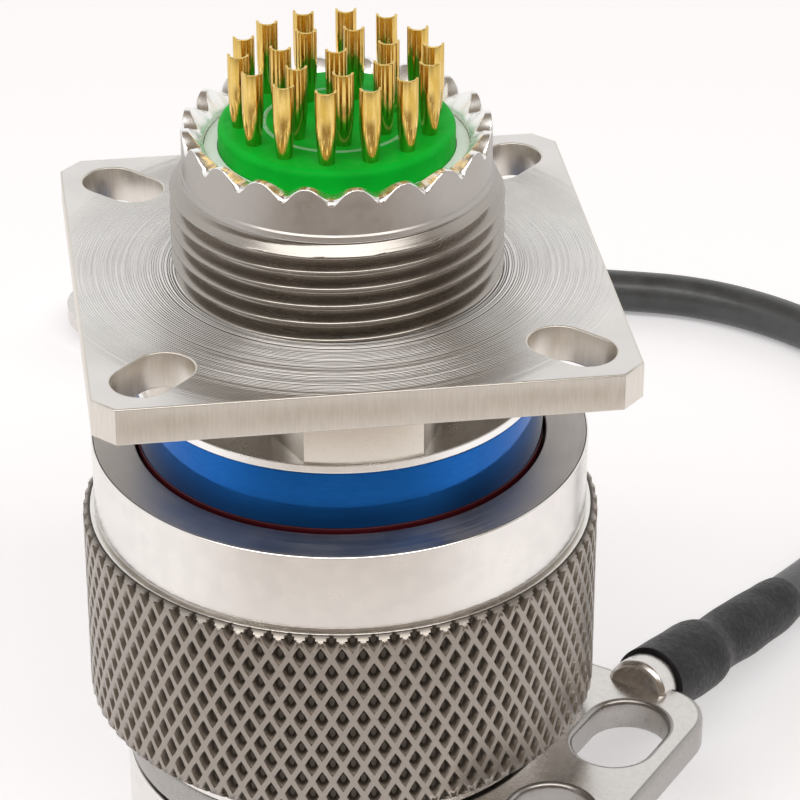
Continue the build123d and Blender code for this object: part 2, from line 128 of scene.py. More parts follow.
class Tree:
    """A node tree of any kind, with one method that adds any node."""

    def __init__(self, tree: bpy.types.NodeTree) -> None:
        """Wraps a tree."""
        self.tree = tree

    def node(self, kind: str, settings: dict | None = None, inputs: dict | None = None,
             output: str | int = 0) -> Sock:
        """Adds a node.

        Args:
            kind: The node's type.
            settings: Its settings, set before anything is linked.
            inputs: Values or links of its sockets, by name or number.
            output: The output to return.

        Returns:
            That output.
        """
        made = self.tree.nodes.new(kind)
        for key, value in (settings or {}).items():
            setattr(made, key, value)
        for key, value in (inputs or {}).items():
            if isinstance(value, Sock):
                self.tree.links.new(value.socket, made.inputs[key])
            else:
                made.inputs[key].default_value = value
        return Sock(self, made.outputs[output])

    def parts(self, vector: Sock) -> tuple[Sock, Sock, Sock]:
        """A vector's three numbers."""
        x = self.node("ShaderNodeSeparateXYZ", inputs={0: vector})
        return x, x.out("Y"), x.out("Z")

    def vector(self, x: Sock | float, y: Sock | float, z: Sock | float) -> Sock:
        """Three numbers as a vector."""
        return self.node("ShaderNodeCombineXYZ", inputs={0: x, 1: y, 2: z})

    def mix(self, share: Sock | float, first: Sock | Colour, second: Sock | Colour) -> Sock:
        """A colour between two others, the first at a share of 0 and the second at 1."""
        colours = [c if isinstance(c, Sock) else (*c, 1.0) for c in (first, second)]
        return self.node("ShaderNodeMix", {"data_type": "RGBA"}, {0: share, 6: colours[0], 7: colours[1]}, 2)


class Shader(Tree):
    """A material's tree, built round its Principled shader."""

    def __init__(self, name: str) -> None:
        """Starts a material.

        Args:
            name: Its name.
        """
        self.material = bpy.data.materials.new(name)
        self.material.use_nodes = True
        super().__init__(self.material.node_tree)
        self.bsdf = self.tree.nodes["Principled BSDF"]

    def place(self) -> Sock:
        """Object coordinates in millimetres."""
        where = self.node("ShaderNodeTexCoord", output="Object")
        return self.node("ShaderNodeVectorMath", {"operation": "SCALE"}, {0: where, "Scale": 1 / MM})

    def axes(self) -> tuple[Sock, Sock, Sock]:
        """The place's three coordinates, in millimetres."""
        return self.parts(self.place())

    def noise(self, where: Sock, scale: float = 1.0, detail: float = 2.0) -> Sock:
        """Noise between 0 and 1, of so many cells per unit and octaves."""
        return self.node("ShaderNodeTexNoise", inputs={"Vector": where, "Scale": scale, "Detail": detail})

    def bump(self, height: Sock, depth: float) -> Sock:
        """A normal from a height between 0 and 1, whose full depth is in millimetres."""
        return self.node("ShaderNodeBump", inputs={"Height": height, "Distance": depth * MM})

    def surface(self, **sockets: Sock | float | Colour) -> bpy.types.Material:
        """Sets the Principled shader's sockets, named with _ for a space.

        Args:
            sockets: Values or links.

        Returns:
            The material.
        """
        for key, value in sockets.items():
            socket = self.bsdf.inputs[key.replace("_", " ")]
            if isinstance(value, Sock):
                self.tree.links.new(value.socket, socket)
            elif isinstance(value, tuple):
                socket.default_value = (*value, 1.0)
            else:
                socket.default_value = value
        return self.material


class Marks(Enum):
    """Marks that a tool or a brush leaves in metal."""

    TURNED = "rings about the axis"
    UPRIGHT = "fine strokes along the axis"
    CLOUDY = "soft blotches"


@dataclass(frozen=True)
class Metal:
    """A metal finish.

    Attributes:
        name: The material's name.
        colour: Reflected colour.
        roughness: Middle roughness.
        marks: What the tool left.
        fineness: Marks per millimetre.
        depth: Depth of the marks in millimetres.
        streak: How dark the darkest marks are, 0 for none.
        anisotropy: How far highlights stretch across turned marks.
    """

    name: str
    colour: Colour
    roughness: float
    marks: Marks
    fineness: float
    depth: float
    streak: float
    anisotropy: float = 0.0

    def pattern(self, shader: Shader) -> Sock:
        """The height of the marks.

        Args:
            shader: The material that shows them.

        Returns:
            The height, 0 to 1.
        """
        x, y, z = shader.axes()
        if self.marks is Marks.TURNED:
            radius = (x * x + y * y) ** 0.5
            around = y.math("ARCTAN2", x)
            rings = shader.vector(radius * self.fineness, z * self.fineness, around * 1.3)
            return shader.noise(rings, detail=3)
        if self.marks is Marks.UPRIGHT:
            return shader.noise(shader.vector(x * self.fineness, y * self.fineness, z * 0.8), detail=3)
        return shader.noise(shader.place(), self.fineness, detail=4)

    def material(self) -> bpy.types.Material:
        """Builds the material.

        Returns:
            The material.
        """
        shader = Shader(self.name)
        marks = self.pattern(shader)
        cloud = shader.noise(shader.place(), 0.35, detail=3)
        dark = tuple(c * (1 - self.streak) for c in self.colour)
        colour = shader.mix(marks.span(0.35, 0.65) * 0.7 + cloud.span(0.35, 0.7) * 0.3, dark, self.colour)
        rough = marks * 0.5 + cloud * 0.5
        return shader.surface(
            Base_Color=colour, Metallic=1.0,
            Roughness=rough.span(0.3, 0.7, self.roughness * 0.8, self.roughness * 1.2),
            Anisotropic=self.anisotropy, Normal=shader.bump(marks, self.depth))


@dataclass(frozen=True)
class FlangeMetal:
    """The flange's upper face: fine turned rings near the barrel, and a plain brushed field beyond them.

    Attributes:
        name: The material's name.
        colour: Reflected colour.
        ring_pitch: Distance between rings, in millimetres.
        ring_depth: Depth of the rings.
        ring_end: Radius where they have faded out.
    """

    name: str
    colour: Colour
    ring_pitch: float = 0.14
    ring_depth: float = 0.056
    ring_end: float = 17.5

    def material(self) -> bpy.types.Material:
        """Builds the material.

        Returns:
            The material.
        """
        shader = Shader(self.name)
        x, y, _ = shader.axes()
        radius = (x * x + y * y) ** 0.5
        uneven = shader.noise(shader.vector(radius * 3.0, 0.0, 0.0), detail=3)
        wave = ((radius + uneven * 0.2) * (TURN / self.ring_pitch)).math("SINE") * 0.5 + 0.5
        rings = (self.ring_end - radius).span(0.0, 5.0)
        brush = shader.noise(shader.vector(x * 9.0, y * 1.2, 0.0), detail=3)
        cloud = shader.noise(shader.place(), 0.3, detail=3)
        dark = tuple(c * 0.92 for c in self.colour)
        height = wave * rings * (uneven * 0.8 + 0.5) + brush * 0.03
        return shader.surface(
            Base_Color=shader.mix(cloud.span(0.3, 0.7), dark, self.colour), Metallic=1.0,
            Roughness=rings * 0.02 + 0.3, Normal=shader.bump(height, self.ring_depth))


@dataclass(frozen=True)
class DepthShadedMetal:
    """Plated metal that is bright where it stands out, and dull with painted shade where it lies deep: its
    colour darkens with depth to stand in for the shade in its grooves and recesses.

    Attributes:
        name: The material's name.
        crest: Colour where it stands out.
        groove: Colour where it lies deep, a painted shade.
        low: Radius of the deepest places, in millimetres.
        high: Radius of the outermost places.
        depth: Depth of its grain in millimetres.
    """

    name: str
    crest: Colour
    groove: Colour
    low: float
    high: float
    depth: float = 0.012

    def material(self) -> bpy.types.Material:
        """Builds the material.

        Returns:
            The material.
        """
        shader = Shader(self.name)
        x, y, _ = shader.axes()
        height = ((x * x + y * y) ** 0.5).span(self.low, self.high)
        grain = shader.noise(shader.place(), 6.0, detail=4)
        # Painted shade: the colour falls from the crest colour to the groove colour as the radius falls.
        colour = shader.mix(height * (grain * 0.4 + 0.8), self.groove, self.crest)
        return shader.surface(
            Base_Color=colour, Metallic=1.0, Roughness=height.span(0.0, 1.0, 0.5, 0.3),
            Normal=shader.bump(grain, self.depth))


@dataclass(frozen=True)
class Gold:
    """Plated gold, a little uneven from cup to cup.

    Attributes:
        name: The material's name.
        colour: Reflected colour.
        deep: Colour of the thinner places.
        roughness: Middle roughness.
    """

    name: str
    colour: Colour
    deep: Colour
    roughness: float

    def material(self) -> bpy.types.Material:
        """Builds the material.

        Returns:
            The material.
        """
        shader = Shader(self.name)
        x, y, z = shader.axes()
        streaks = shader.noise(shader.vector(x * 5.0, y * 5.0, z * 0.6), detail=3)
        pits = shader.noise(shader.place(), 7.0, detail=2)
        return shader.surface(
            Base_Color=shader.mix(streaks.span(0.3, 0.7), self.deep, self.colour), Metallic=1.0,
            Roughness=pits.span(0.3, 0.7, self.roughness * 0.8, self.roughness * 1.3),
            Normal=shader.bump(streaks, 0.002))


@dataclass(frozen=True)
class Painted:
    """A glossy band whose colour tints what it reflects.

    Attributes:
        name: The material's name.
        colour: Its colour.
        metallic: How far reflections take that colour.
        roughness: Middle roughness.
        painted_shade_heights: Heights in millimetres for painted shade: where the band is darkest, standing
            in for the shade under the cap's mouth, and from where it has its full colour.
    """

    name: str
    colour: Colour
    metallic: float
    roughness: float
    painted_shade_heights: Point = (0.0, 1.0)

    def material(self) -> bpy.types.Material:
        """Builds the material.

        Returns:
            The material.
        """
        shader = Shader(self.name)
        x, y, z = shader.axes()
        peel = shader.noise(shader.place(), 2.2, detail=2)
        wear = shader.noise(shader.vector(x * 2.0, y * 2.0, z * 9.0), detail=3)
        light = tuple(min(1.0, c * 1.12 + 0.004) for c in self.colour)
        # Painted shade: half the colour, shown low on the band where the cap's shade falls.
        dark = tuple(c * 0.5 for c in self.colour)
        worn = shader.mix(wear.span(0.3, 0.75), self.colour, light)
        return shader.surface(
            Base_Color=shader.mix(z.span(*self.painted_shade_heights), dark, worn), Metallic=self.metallic,
            Roughness=peel.span(0.3, 0.7, self.roughness * 0.85, self.roughness * 1.15),
            Normal=shader.bump(peel, 0.0015))


@dataclass(frozen=True)
class Moulded:
    """Resin, rubber or plastic.

    Attributes:
        name: The material's name.
        colour: Its colour.
        shade: The colour of its darker places.
        roughness: Middle roughness.
        coat: Strength of a clear skin.
        grain: Cells of its fine texture per millimetre.
        depth: Depth of that texture in millimetres.
        specular: Strength of its reflections.
    """

    name: str
    colour: Colour
    shade: Colour
    roughness: float
    coat: float = 0.0
    grain: float = 3.0
    depth: float = 0.008
    specular: float = 0.5

    def material(self) -> bpy.types.Material:
        """Builds the material.

        Returns:
            The material.
        """
        shader = Shader(self.name)
        cloud = shader.noise(shader.place(), 0.6, detail=3)
        grain = shader.noise(shader.place(), self.grain, detail=3)
        return shader.surface(
            Base_Color=shader.mix(cloud.span(0.3, 0.7), self.shade, self.colour), Metallic=0.0,
            Roughness=grain.span(0.3, 0.7, self.roughness * 0.85, self.roughness * 1.15),
            Coat_Weight=self.coat, Coat_Roughness=0.12, Specular_IOR_Level=self.specular,
            Normal=shader.bump(grain, self.depth))


def linked(name: str, data: bpy.types.ID) -> bpy.types.Object:
    """Makes an object and puts it in the scene.

    Args:
        name: Its name.
        data: Its mesh, curve, camera or light.

    Returns:
        The object.
    """
    obj = bpy.data.objects.new(name, data)
    bpy.context.scene.collection.objects.link(obj)
    return obj


def discard(obj: bpy.types.Object) -> None:
    """Removes an object and its mesh.

    Args:
        obj: The object.
    """
    mesh = obj.data
    bpy.data.objects.remove(obj)
    bpy.data.meshes.remove(mesh)


def turned_over(mesh: bpy.types.Mesh) -> bpy.types.Mesh:
    """Turns a mesh's faces to its other side.

    Args:
        mesh: The mesh.

    Returns:
        The same mesh.
    """
    for face in mesh.polygons:
        face.flip()
    return mesh


@dataclass
class Form:
    """Points and faces in millimetres, before they become a Blender mesh.

    Attributes:
        points: Rows of x, y, z.
        faces: Point numbers of each face, outward.
        slots: Material slot of each face.
    """

    points: list[np.ndarray] = field(default_factory=list)
    faces: list[tuple[int, ...]] = field(default_factory=list)
    slots: list[int] = field(default_factory=list)

    def rows(self, rows: Sequence[np.ndarray], slot: int = 0) -> None:
        """Joins closed loops one to the next. Loops run anticlockwise and up, seen from outside.

        Args:
            rows: Loops with the same number of points.
            slot: Material slot.
        """
        start, count = len(self.points), len(rows[0])
        self.points.extend(np.concatenate(rows))
        for j in range(len(rows) - 1):
            low, high = start + j * count, start + (j + 1) * count
            for i in range(count):
                k = (i + 1) % count
                self.faces.append((low + i, low + k, high + k, high + i))
                self.slots.append(slot)

    def lathe(self, profile: Sequence[Point], slot: int = 0, steps: int = 256, closed: bool = True) -> None:
        """Turns an outline about the axis.

        Args:
            profile: Radius and height of each point, up the outside and down the inside.
            slot: Material slot.
            steps: Points round a turn.
            closed: Whether the last point joins the first.
        """
        turn = np.linspace(0, TURN, steps, endpoint=False)
        rows = [loop(turn, r, z) for r, z in profile]
        self.rows(rows + rows[:1] if closed else rows, slot)

    def plate(self, outline: Outline, holes: Sequence[Outline], low: float, high: float, edge: float,
              slots: tuple[int, int]) -> None:
        """A flat plate with rounded edges.

        Args:
            outline: The outer loop at an inset, anticlockwise.
            holes: Inner loops at an inset, clockwise.
            low: Height of its underside.
            high: Height of its top.
            edge: Radius of its edges.
            slots: Material slots of the faces and of the sides.
        """
        bend = [(edge * (1 - math.cos(a)), edge * math.sin(a)) for a in np.linspace(0, math.pi / 2, 4)]
        section = [(inset, low + edge - rise) for inset, rise in reversed(bend)]
        section += [(inset, high - edge + rise) for inset, rise in bend]
        section = [(section[0][0] + HOLD, low)] + section + [(section[-1][0] + HOLD, high)]
        for line in (outline, *holes):
            rows = [np.column_stack([line(inset), np.full(len(line(inset)), z)]) for inset, z in section]
            self.rows(rows, slots[1])
        flat = [[Vector((x, y, 0)) for x, y in line(edge + HOLD)] for line in (outline, *holes)]
        corners = [(p.x, p.y) for line in flat for p in line]
        for a, b, c in tessellate_polygon(flat):
            (ax, ay), (bx, by), (cx, cy) = corners[a], corners[b], corners[c]
            if (bx - ax) * (cy - ay) < (by - ay) * (cx - ax):
                b, c = c, b
            for z, tri in ((high, (a, b, c)), (low, (c, b, a))):
                start = len(self.points)
                self.points.extend(np.array((*corners[i], z)) for i in tri)
                self.faces.append((start, start + 1, start + 2))
                self.slots.append(slots[0])

    def take(self, mesh: bpy.types.Mesh, slot: int) -> None:
        """Adds a Blender mesh and frees it.

        Args:
            mesh: A mesh in metres.
            slot: Material slot for all of it.
        """
        start = len(self.points)
        self.points.extend(np.array(v.co) / MM for v in mesh.vertices)
        for face in mesh.polygons:
            self.faces.append(tuple(start + i for i in face.vertices))
            self.slots.append(slot)
        bpy.data.meshes.remove(mesh)

    def mesh(self, name: str) -> bpy.types.Mesh:
        """Makes the form a mesh, with doubled points merged.

        Args:
            name: The mesh's name.

        Returns:
            The mesh, in metres.
        """
        made = bpy.data.meshes.new(name)
        made.from_pydata([tuple(p * MM) for p in self.points], [], self.faces)
        made.polygons.foreach_set("material_index", self.slots)
        work = bmesh.new()
        work.from_mesh(made)
        bmesh.ops.remove_doubles(work, verts=work.verts, dist=MERGE * MM)
        bmesh.ops.dissolve_degenerate(work, edges=work.edges, dist=MERGE * MM)
        work.to_mesh(made)
        work.free()
        return made

    def piece(self, name: str, body: str, materials: Sequence[bpy.types.Material], slot: str,
              stands_for: Sequence[str], sharp_deg: float = 35.0) -> bpy.types.Object:
        """Makes the form an object of the model.

        Args:
            name: The object's name.
            body: The body that it rides on.
            materials: Its material slots.
            slot: The record's material slot; not used.
            stands_for: CAD nodes that it replaces.
            sharp_deg: Edges that turn more than this stay sharp.

        Returns:
            The object.
        """
        made = self.mesh(name)
        for material in materials:
            made.materials.append(material)
        made.shade_smooth()
        made.set_sharp_from_angle(angle=math.radians(sharp_deg))
        obj = linked(name, made)
        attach(obj, body)
        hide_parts(*stands_for)
        LOG.info("%s: %d faces", name, len(made.polygons))
        return obj


def loop(turn: np.ndarray, radius: float | np.ndarray, height: float | np.ndarray) -> np.ndarray:
    """A loop about the axis, its points at these angles, whose radius and height may change round it."""
    r, z = np.broadcast_to(radius, len(turn)), np.broadcast_to(height, len(turn))
    return np.stack([r * np.cos(turn), r * np.sin(turn), z], 1)


def eased(outline: Sequence[Point], radius: float) -> list[Point]:
    """Rounds the corners of a closed outline, and keeps its flats flat with a point beside each bend.

    Args:
        outline: Its corners.
        radius: Radius of each bend, less where a run is short.

    Returns:
        The rounded outline.
    """
    out: list[Point] = []
    corners = [np.array(p, float) for p in outline]
    for before, here, after in zip(corners[-1:] + corners[:-1], corners, corners[1:] + corners[:1]):
        back, on = before - here, after - here
        run = min(np.linalg.norm(back), np.linalg.norm(on))
        back, on = back / np.linalg.norm(back), on / np.linalg.norm(on)
        half = math.acos(max(-1.0, min(1.0, float(back @ on)))) / 2
        reach = min(radius / math.tan(half), 0.3 * run) if 0.1 < half < 1.5 else 0.0
        if reach < 0.004 or here[0] < 1e-6:
            out.append(tuple(here))
            continue
        hold = min(HOLD, 0.15 * run)
        out.append(tuple(here + back * (reach + hold)))
        first, last = here + back * reach, here + on * reach
        for t in (0.0, 0.33, 0.67, 1.0):
            out.append(tuple((1 - t) ** 2 * first + 2 * t * (1 - t) * here + t * t * last))
        out.append(tuple(here + on * (reach + hold)))
    return out


def arc(x: float, y: float, r: float, start: float, end: float, steps: int) -> np.ndarray:
    """Points on an arc about x and y, from one angle in degrees to another."""
    turn = np.radians(np.linspace(start, end, steps))
    return np.column_stack([x + r * np.cos(turn), y + r * np.sin(turn)])


def spun(line: np.ndarray, degrees: float) -> np.ndarray:
    """A flat line turned about the axis."""
    a = math.radians(degrees)
    return line @ np.array([[math.cos(a), math.sin(a)], [-math.sin(a), math.cos(a)]])


def circle(r: float, steps: int = 256) -> Outline:
    """A round hole whose edge goes outward as it is inset, clockwise."""
    return lambda inset: arc(0, 0, r + inset, 360, 360 / steps, steps)


class Rule(Tree):
    """A Geometry Nodes group with named inputs, whose result becomes one plain mesh."""

    def __init__(self, name: str, **inputs: str) -> None:
        """Starts a group.

        Args:
            name: Its name.
            inputs: Socket kind of each input, such as Float or Int.
        """
        group = bpy.data.node_groups.new(name, "GeometryNodeTree")
        super().__init__(group)
        for key, kind in inputs.items():
            group.interface.new_socket(key.replace("_", " "), in_out="INPUT", socket_type="NodeSocket" + kind)
        group.interface.new_socket("Material", in_out="INPUT", socket_type="NodeSocketMaterial")
        group.interface.new_socket("Mesh", in_out="OUTPUT", socket_type="NodeSocketGeometry")
        self.entry = group.nodes.new("NodeGroupInput")

    def given(self, name: str) -> Sock:
        """An input of the group."""
        return Sock(self, self.entry.outputs[name])

    def axes(self) -> tuple[Sock, Sock, Sock]:
        """Each point's three coordinates."""
        return self.parts(self.node("GeometryNodeInputPosition"))

    def moved(self, geometry: Sock, x: Sock | float, y: Sock | float, z: Sock | float) -> Sock:
        """A geometry with each point put at x, y and z."""
        return self.node("GeometryNodeSetPosition",
                         inputs={"Geometry": geometry, "Position": self.vector(x, y, z)})

    def wrapped(self, geometry: Sock, turn: Sock, radius: Sock, z: Sock) -> Sock:
        """A geometry bent round the axis: each point at its angle, radius and height."""
        return self.moved(geometry, radius * turn.math("COSINE"), radius * turn.math("SINE"), z)

    def close(self, geometry: Sock) -> None:
        """Ends the tree: realized, merged and with its material set.

        Args:
            geometry: What the tree has made.
        """
        whole = self.node("GeometryNodeRealizeInstances", inputs={"Geometry": geometry})
        merged = self.node("GeometryNodeMergeByDistance", inputs={"Geometry": whole, "Distance": MERGE * MM})
        dressed = self.node("GeometryNodeSetMaterial",
                            inputs={"Geometry": merged, "Material": self.given("Material")})
        leave = self.tree.nodes.new("NodeGroupOutput")
        self.tree.links.new(dressed.socket, leave.inputs["Mesh"])

    def mesh(self, **values: float | int | bpy.types.ID) -> bpy.types.Mesh:
        """Runs the group once.

        Args:
            values: Its inputs, named with _ for a space.

        Returns:
            Its result as a mesh in metres.
        """
        host = linked("rule_host", bpy.data.meshes.new("rule_host"))
        modifier = host.modifiers.new("rule", "NODES")
        modifier.node_group = self.tree
        inputs = [item for item in self.tree.interface.items_tree if item.in_out == "INPUT"]
        sockets = {item.name: item.identifier for item in inputs}
        for key, value in values.items():
            modifier[sockets[key.replace("_", " ")]] = value
        graph = bpy.context.evaluated_depsgraph_get()
        made = bpy.data.meshes.new_from_object(host.evaluated_get(graph))
        discard(host)
        return made


class ThreadRule(Rule):
    """A thread's surface: a sheet wrapped round the axis, its radius set by the helix.

    Attributes:
        FLANK: Where a flank leaves the root and reaches the crest, as shares of half a pitch.
    """

    FLANK = (0.1, 0.97)

    def __init__(self) -> None:
        """Builds the tree."""
        super().__init__("thread", Radius="Float", Depth="Float", Pitch="Float", Starts="Int", Low="Float",
                         High="Float", Crest="Float", Lead_In="Float", Around="Int", Rows="Int")
        sheet = self.node("GeometryNodeMeshGrid", inputs={
            "Size X": 1.0, "Size Y": 1.0, "Vertices X": self.given("Around") + 1.0,
            "Vertices Y": self.given("Rows")})
        across, up, _ = self.axes()
        u, v = across + 0.5, up + 0.5
        low, high, depth, pitch = (self.given(n) for n in ("Low", "High", "Depth", "Pitch"))
        z = low + v * (high - low)
        phase = ((z - self.given("Crest") - u * pitch * self.given("Starts")) / pitch).math("FRACT")
        beside = (phase * 2.0 - 1.0).math("ABSOLUTE")
        cut = (1.0 - beside.span(*self.FLANK)) * depth
        ends = (high - z).math("MINIMUM", z - low)
        lead = self.given("Lead In")
        bevel = (lead - ends).math("MAXIMUM", 0.0) / lead * depth.math("ABSOLUTE")
        side = depth.math("SIGN")
        radius = self.given("Radius") - side * (cut * side).math("MAXIMUM", bevel)
        self.close(self.wrapped(sheet, u * TURN, radius, z))

    def sheet(self, radius: float, depth: float, pitch: float, starts: int, low: float, high: float,
              crest: float, lead_in: float, rows: int, material: bpy.types.Material) -> bpy.types.Mesh:
        """Makes one thread, outward, its sizes in millimetres.

        Args:
            radius: Radius of its crests.
            depth: How deep its roots are cut, less than 0 where they are cut outward.
            pitch: Distance between neighbouring crests.
            starts: Number of starts.
            low: Height of its lower end.
            high: Height of its upper end.
            crest: Height of a crest at +X.
            lead_in: Length of the bevel at its ends.
            rows: Rows along it.
            material: Its material.

        Returns:
            The mesh.
        """
        return self.mesh(Radius=radius * MM, Depth=depth * MM, Pitch=pitch * MM, Starts=starts, Low=low * MM,
                         High=high * MM, Crest=crest * MM, Lead_In=lead_in * MM, Around=THREAD_STEPS,
                         Rows=rows, Material=material)


class KnurlRule(Rule):
    """A knurl: one cell set out on a staggered lattice, cut off at whole rows and bent round the axis."""

    def __init__(self) -> None:
        """Builds the tree."""
        super().__init__("knurl", Cell="Object", Radius="Float", Columns="Int", Half_Rows="Int", Low="Float",
                         High="Float")
        radius, low, high = (self.given(n) for n in ("Radius", "Low", "High"))
        columns, half_rows = self.given("Columns"), self.given("Half Rows")
        wide = radius * TURN / columns
        tall = (high - low) / half_rows
        lattice = self.node("GeometryNodeMeshGrid", inputs={
            "Size X": wide * (columns - 1.0), "Size Y": tall * half_rows,
            "Vertices X": columns, "Vertices Y": half_rows + 1.0})
        x, y, _ = self.axes()
        row = (y / tall + half_rows * 0.5).math("ROUND")
        upright = self.moved(lattice, x + wide * 0.5 * row.math("MODULO", 2.0), 0.0, low + row * tall)
        cell = self.node("GeometryNodeObjectInfo", inputs={"Object": self.given("Cell")}, output="Geometry")
        cells = self.node("GeometryNodeInstanceOnPoints", inputs={
            "Points": upright, "Instance": cell, "Scale": self.vector(wide, 1.0, tall)})
        whole = self.node("GeometryNodeRealizeInstances", inputs={"Geometry": cells})
        _, _, z = self.axes()
        outside = (z - (low + high) * 0.5).math("ABSOLUTE").math("GREATER_THAN", (high - low) * 0.5)
        trimmed = self.node("GeometryNodeDeleteGeometry", {"domain": "FACE"},
                            {"Geometry": whole, "Selection": outside})
        x, y, z = self.axes()
        self.close(self.wrapped(trimmed, x / radius * -1.0, radius + y, z))


class ShoulderRule(Rule):
    """The bevel at an end of a knurl, notched where the pits run out through it.

    Attributes:
        STEPS: Faces from the bevel's start to its end. One more turns in behind it.
        COLUMN_STEPS: Faces across one column.
        WALL: Where a pit's wall begins and ends, as shares of half a column.
        TUCK: How far back the last face goes, as a share of the bevel's height.
    """

    STEPS = 4
    COLUMN_STEPS = 8.0
    WALL = (0.3, 0.66)
    TUCK = 0.15

    def __init__(self) -> None:
        """Builds the tree."""
        super().__init__("shoulder", Radius="Float", Pit="Float", Columns="Int", Cell="Float", Shift="Float",
                         Start="Float", End="Float")
        radius, start, end = (self.given(n) for n in ("Radius", "Start", "End"))
        columns = self.given("Columns")
        sheet = self.node("GeometryNodeMeshGrid", inputs={
            "Size X": 1.0, "Size Y": 1.0, "Vertices X": columns * self.COLUMN_STEPS + 1.0,
            "Vertices Y": self.STEPS + 2})
        across, up, _ = self.axes()
        u, v = across + 0.5, (up + 0.5) * (1 + 1 / self.STEPS)
        rise = (end - start) * v.math("MINIMUM", 1.0)
        high = rise.math("ABSOLUTE")
        beside = ((u * columns + self.given("Shift")).math("FRACT") * 2.0 - 1.0).math("ABSOLUTE")
        pit = (1.0 - (beside + high / self.given("Cell")).span(*self.WALL)) * self.given("Pit")
        behind = v.math("GREATER_THAN", 1.1)
        reach = radius - high.math("MAXIMUM", pit) - behind * self.given("Pit")
        dip = (end - start) * behind * self.TUCK
        self.close(self.wrapped(sheet, u * TURN, reach, start + rise - dip))


class CupRule(Rule):
    """Contacts in two rings and one in the middle, each turned a little by its number."""

    def __init__(self) -> None:
        """Builds the tree."""
        super().__init__("cups", Cup="Object", Outer_Count="Int", Outer_Radius="Float", Inner_Count="Int",
                         Inner_Radius="Float", Inner_Start="Float", Opens="Float", Swing="Float")
        outer, inner = self.given("Outer Count"), self.given("Inner Count")
        rings = [
            self.ring(self.circle(outer, self.given("Outer Radius"), 0.0), 0.0),
            self.ring(self.circle(inner, self.given("Inner Radius"), self.given("Inner Start")), outer),
            self.ring(self.node("GeometryNodeMeshLine", inputs={"Count": 1}), outer + inner)]
        joined = self.node("GeometryNodeJoinGeometry", inputs={0: rings[0]})
        for ring in rings[1:]:
            self.tree.links.new(ring.socket, joined.socket.node.inputs[0])
        self.close(joined)

    def circle(self, count: Sock, radius: Sock, start: Sock | float) -> Sock:
        """Points round the axis, the first at the start angle."""
        line = self.node("GeometryNodeMeshCircle", inputs={"Vertices": count, "Radius": radius})
        return self.node("GeometryNodeTransform", inputs={"Geometry": line, "Rotation": self.spin(start)})

    def spin(self, angle: Sock | float) -> Sock:
        """A turn about the axis."""
        return self.vector(0.0, 0.0, angle)

    def ring(self, points: Sock, offset: Sock | float) -> Sock:
        """Contacts at these points.

        Args:
            points: Where they stand.
            offset: Number of the contacts before them.

        Returns:
            The instances.
        """
        number = self.node("GeometryNodeInputIndex") + 1.0 + offset
        step = (number * 7.0).math("MODULO", 5.0) - 2.0
        angle = self.given("Opens") + step * self.given("Swing")
        cup = self.node("GeometryNodeObjectInfo", inputs={"Object": self.given("Cup")}, output="Geometry")
        return self.node("GeometryNodeInstanceOnPoints", inputs={
            "Points": points, "Instance": cup, "Rotation": self.spin(angle)})


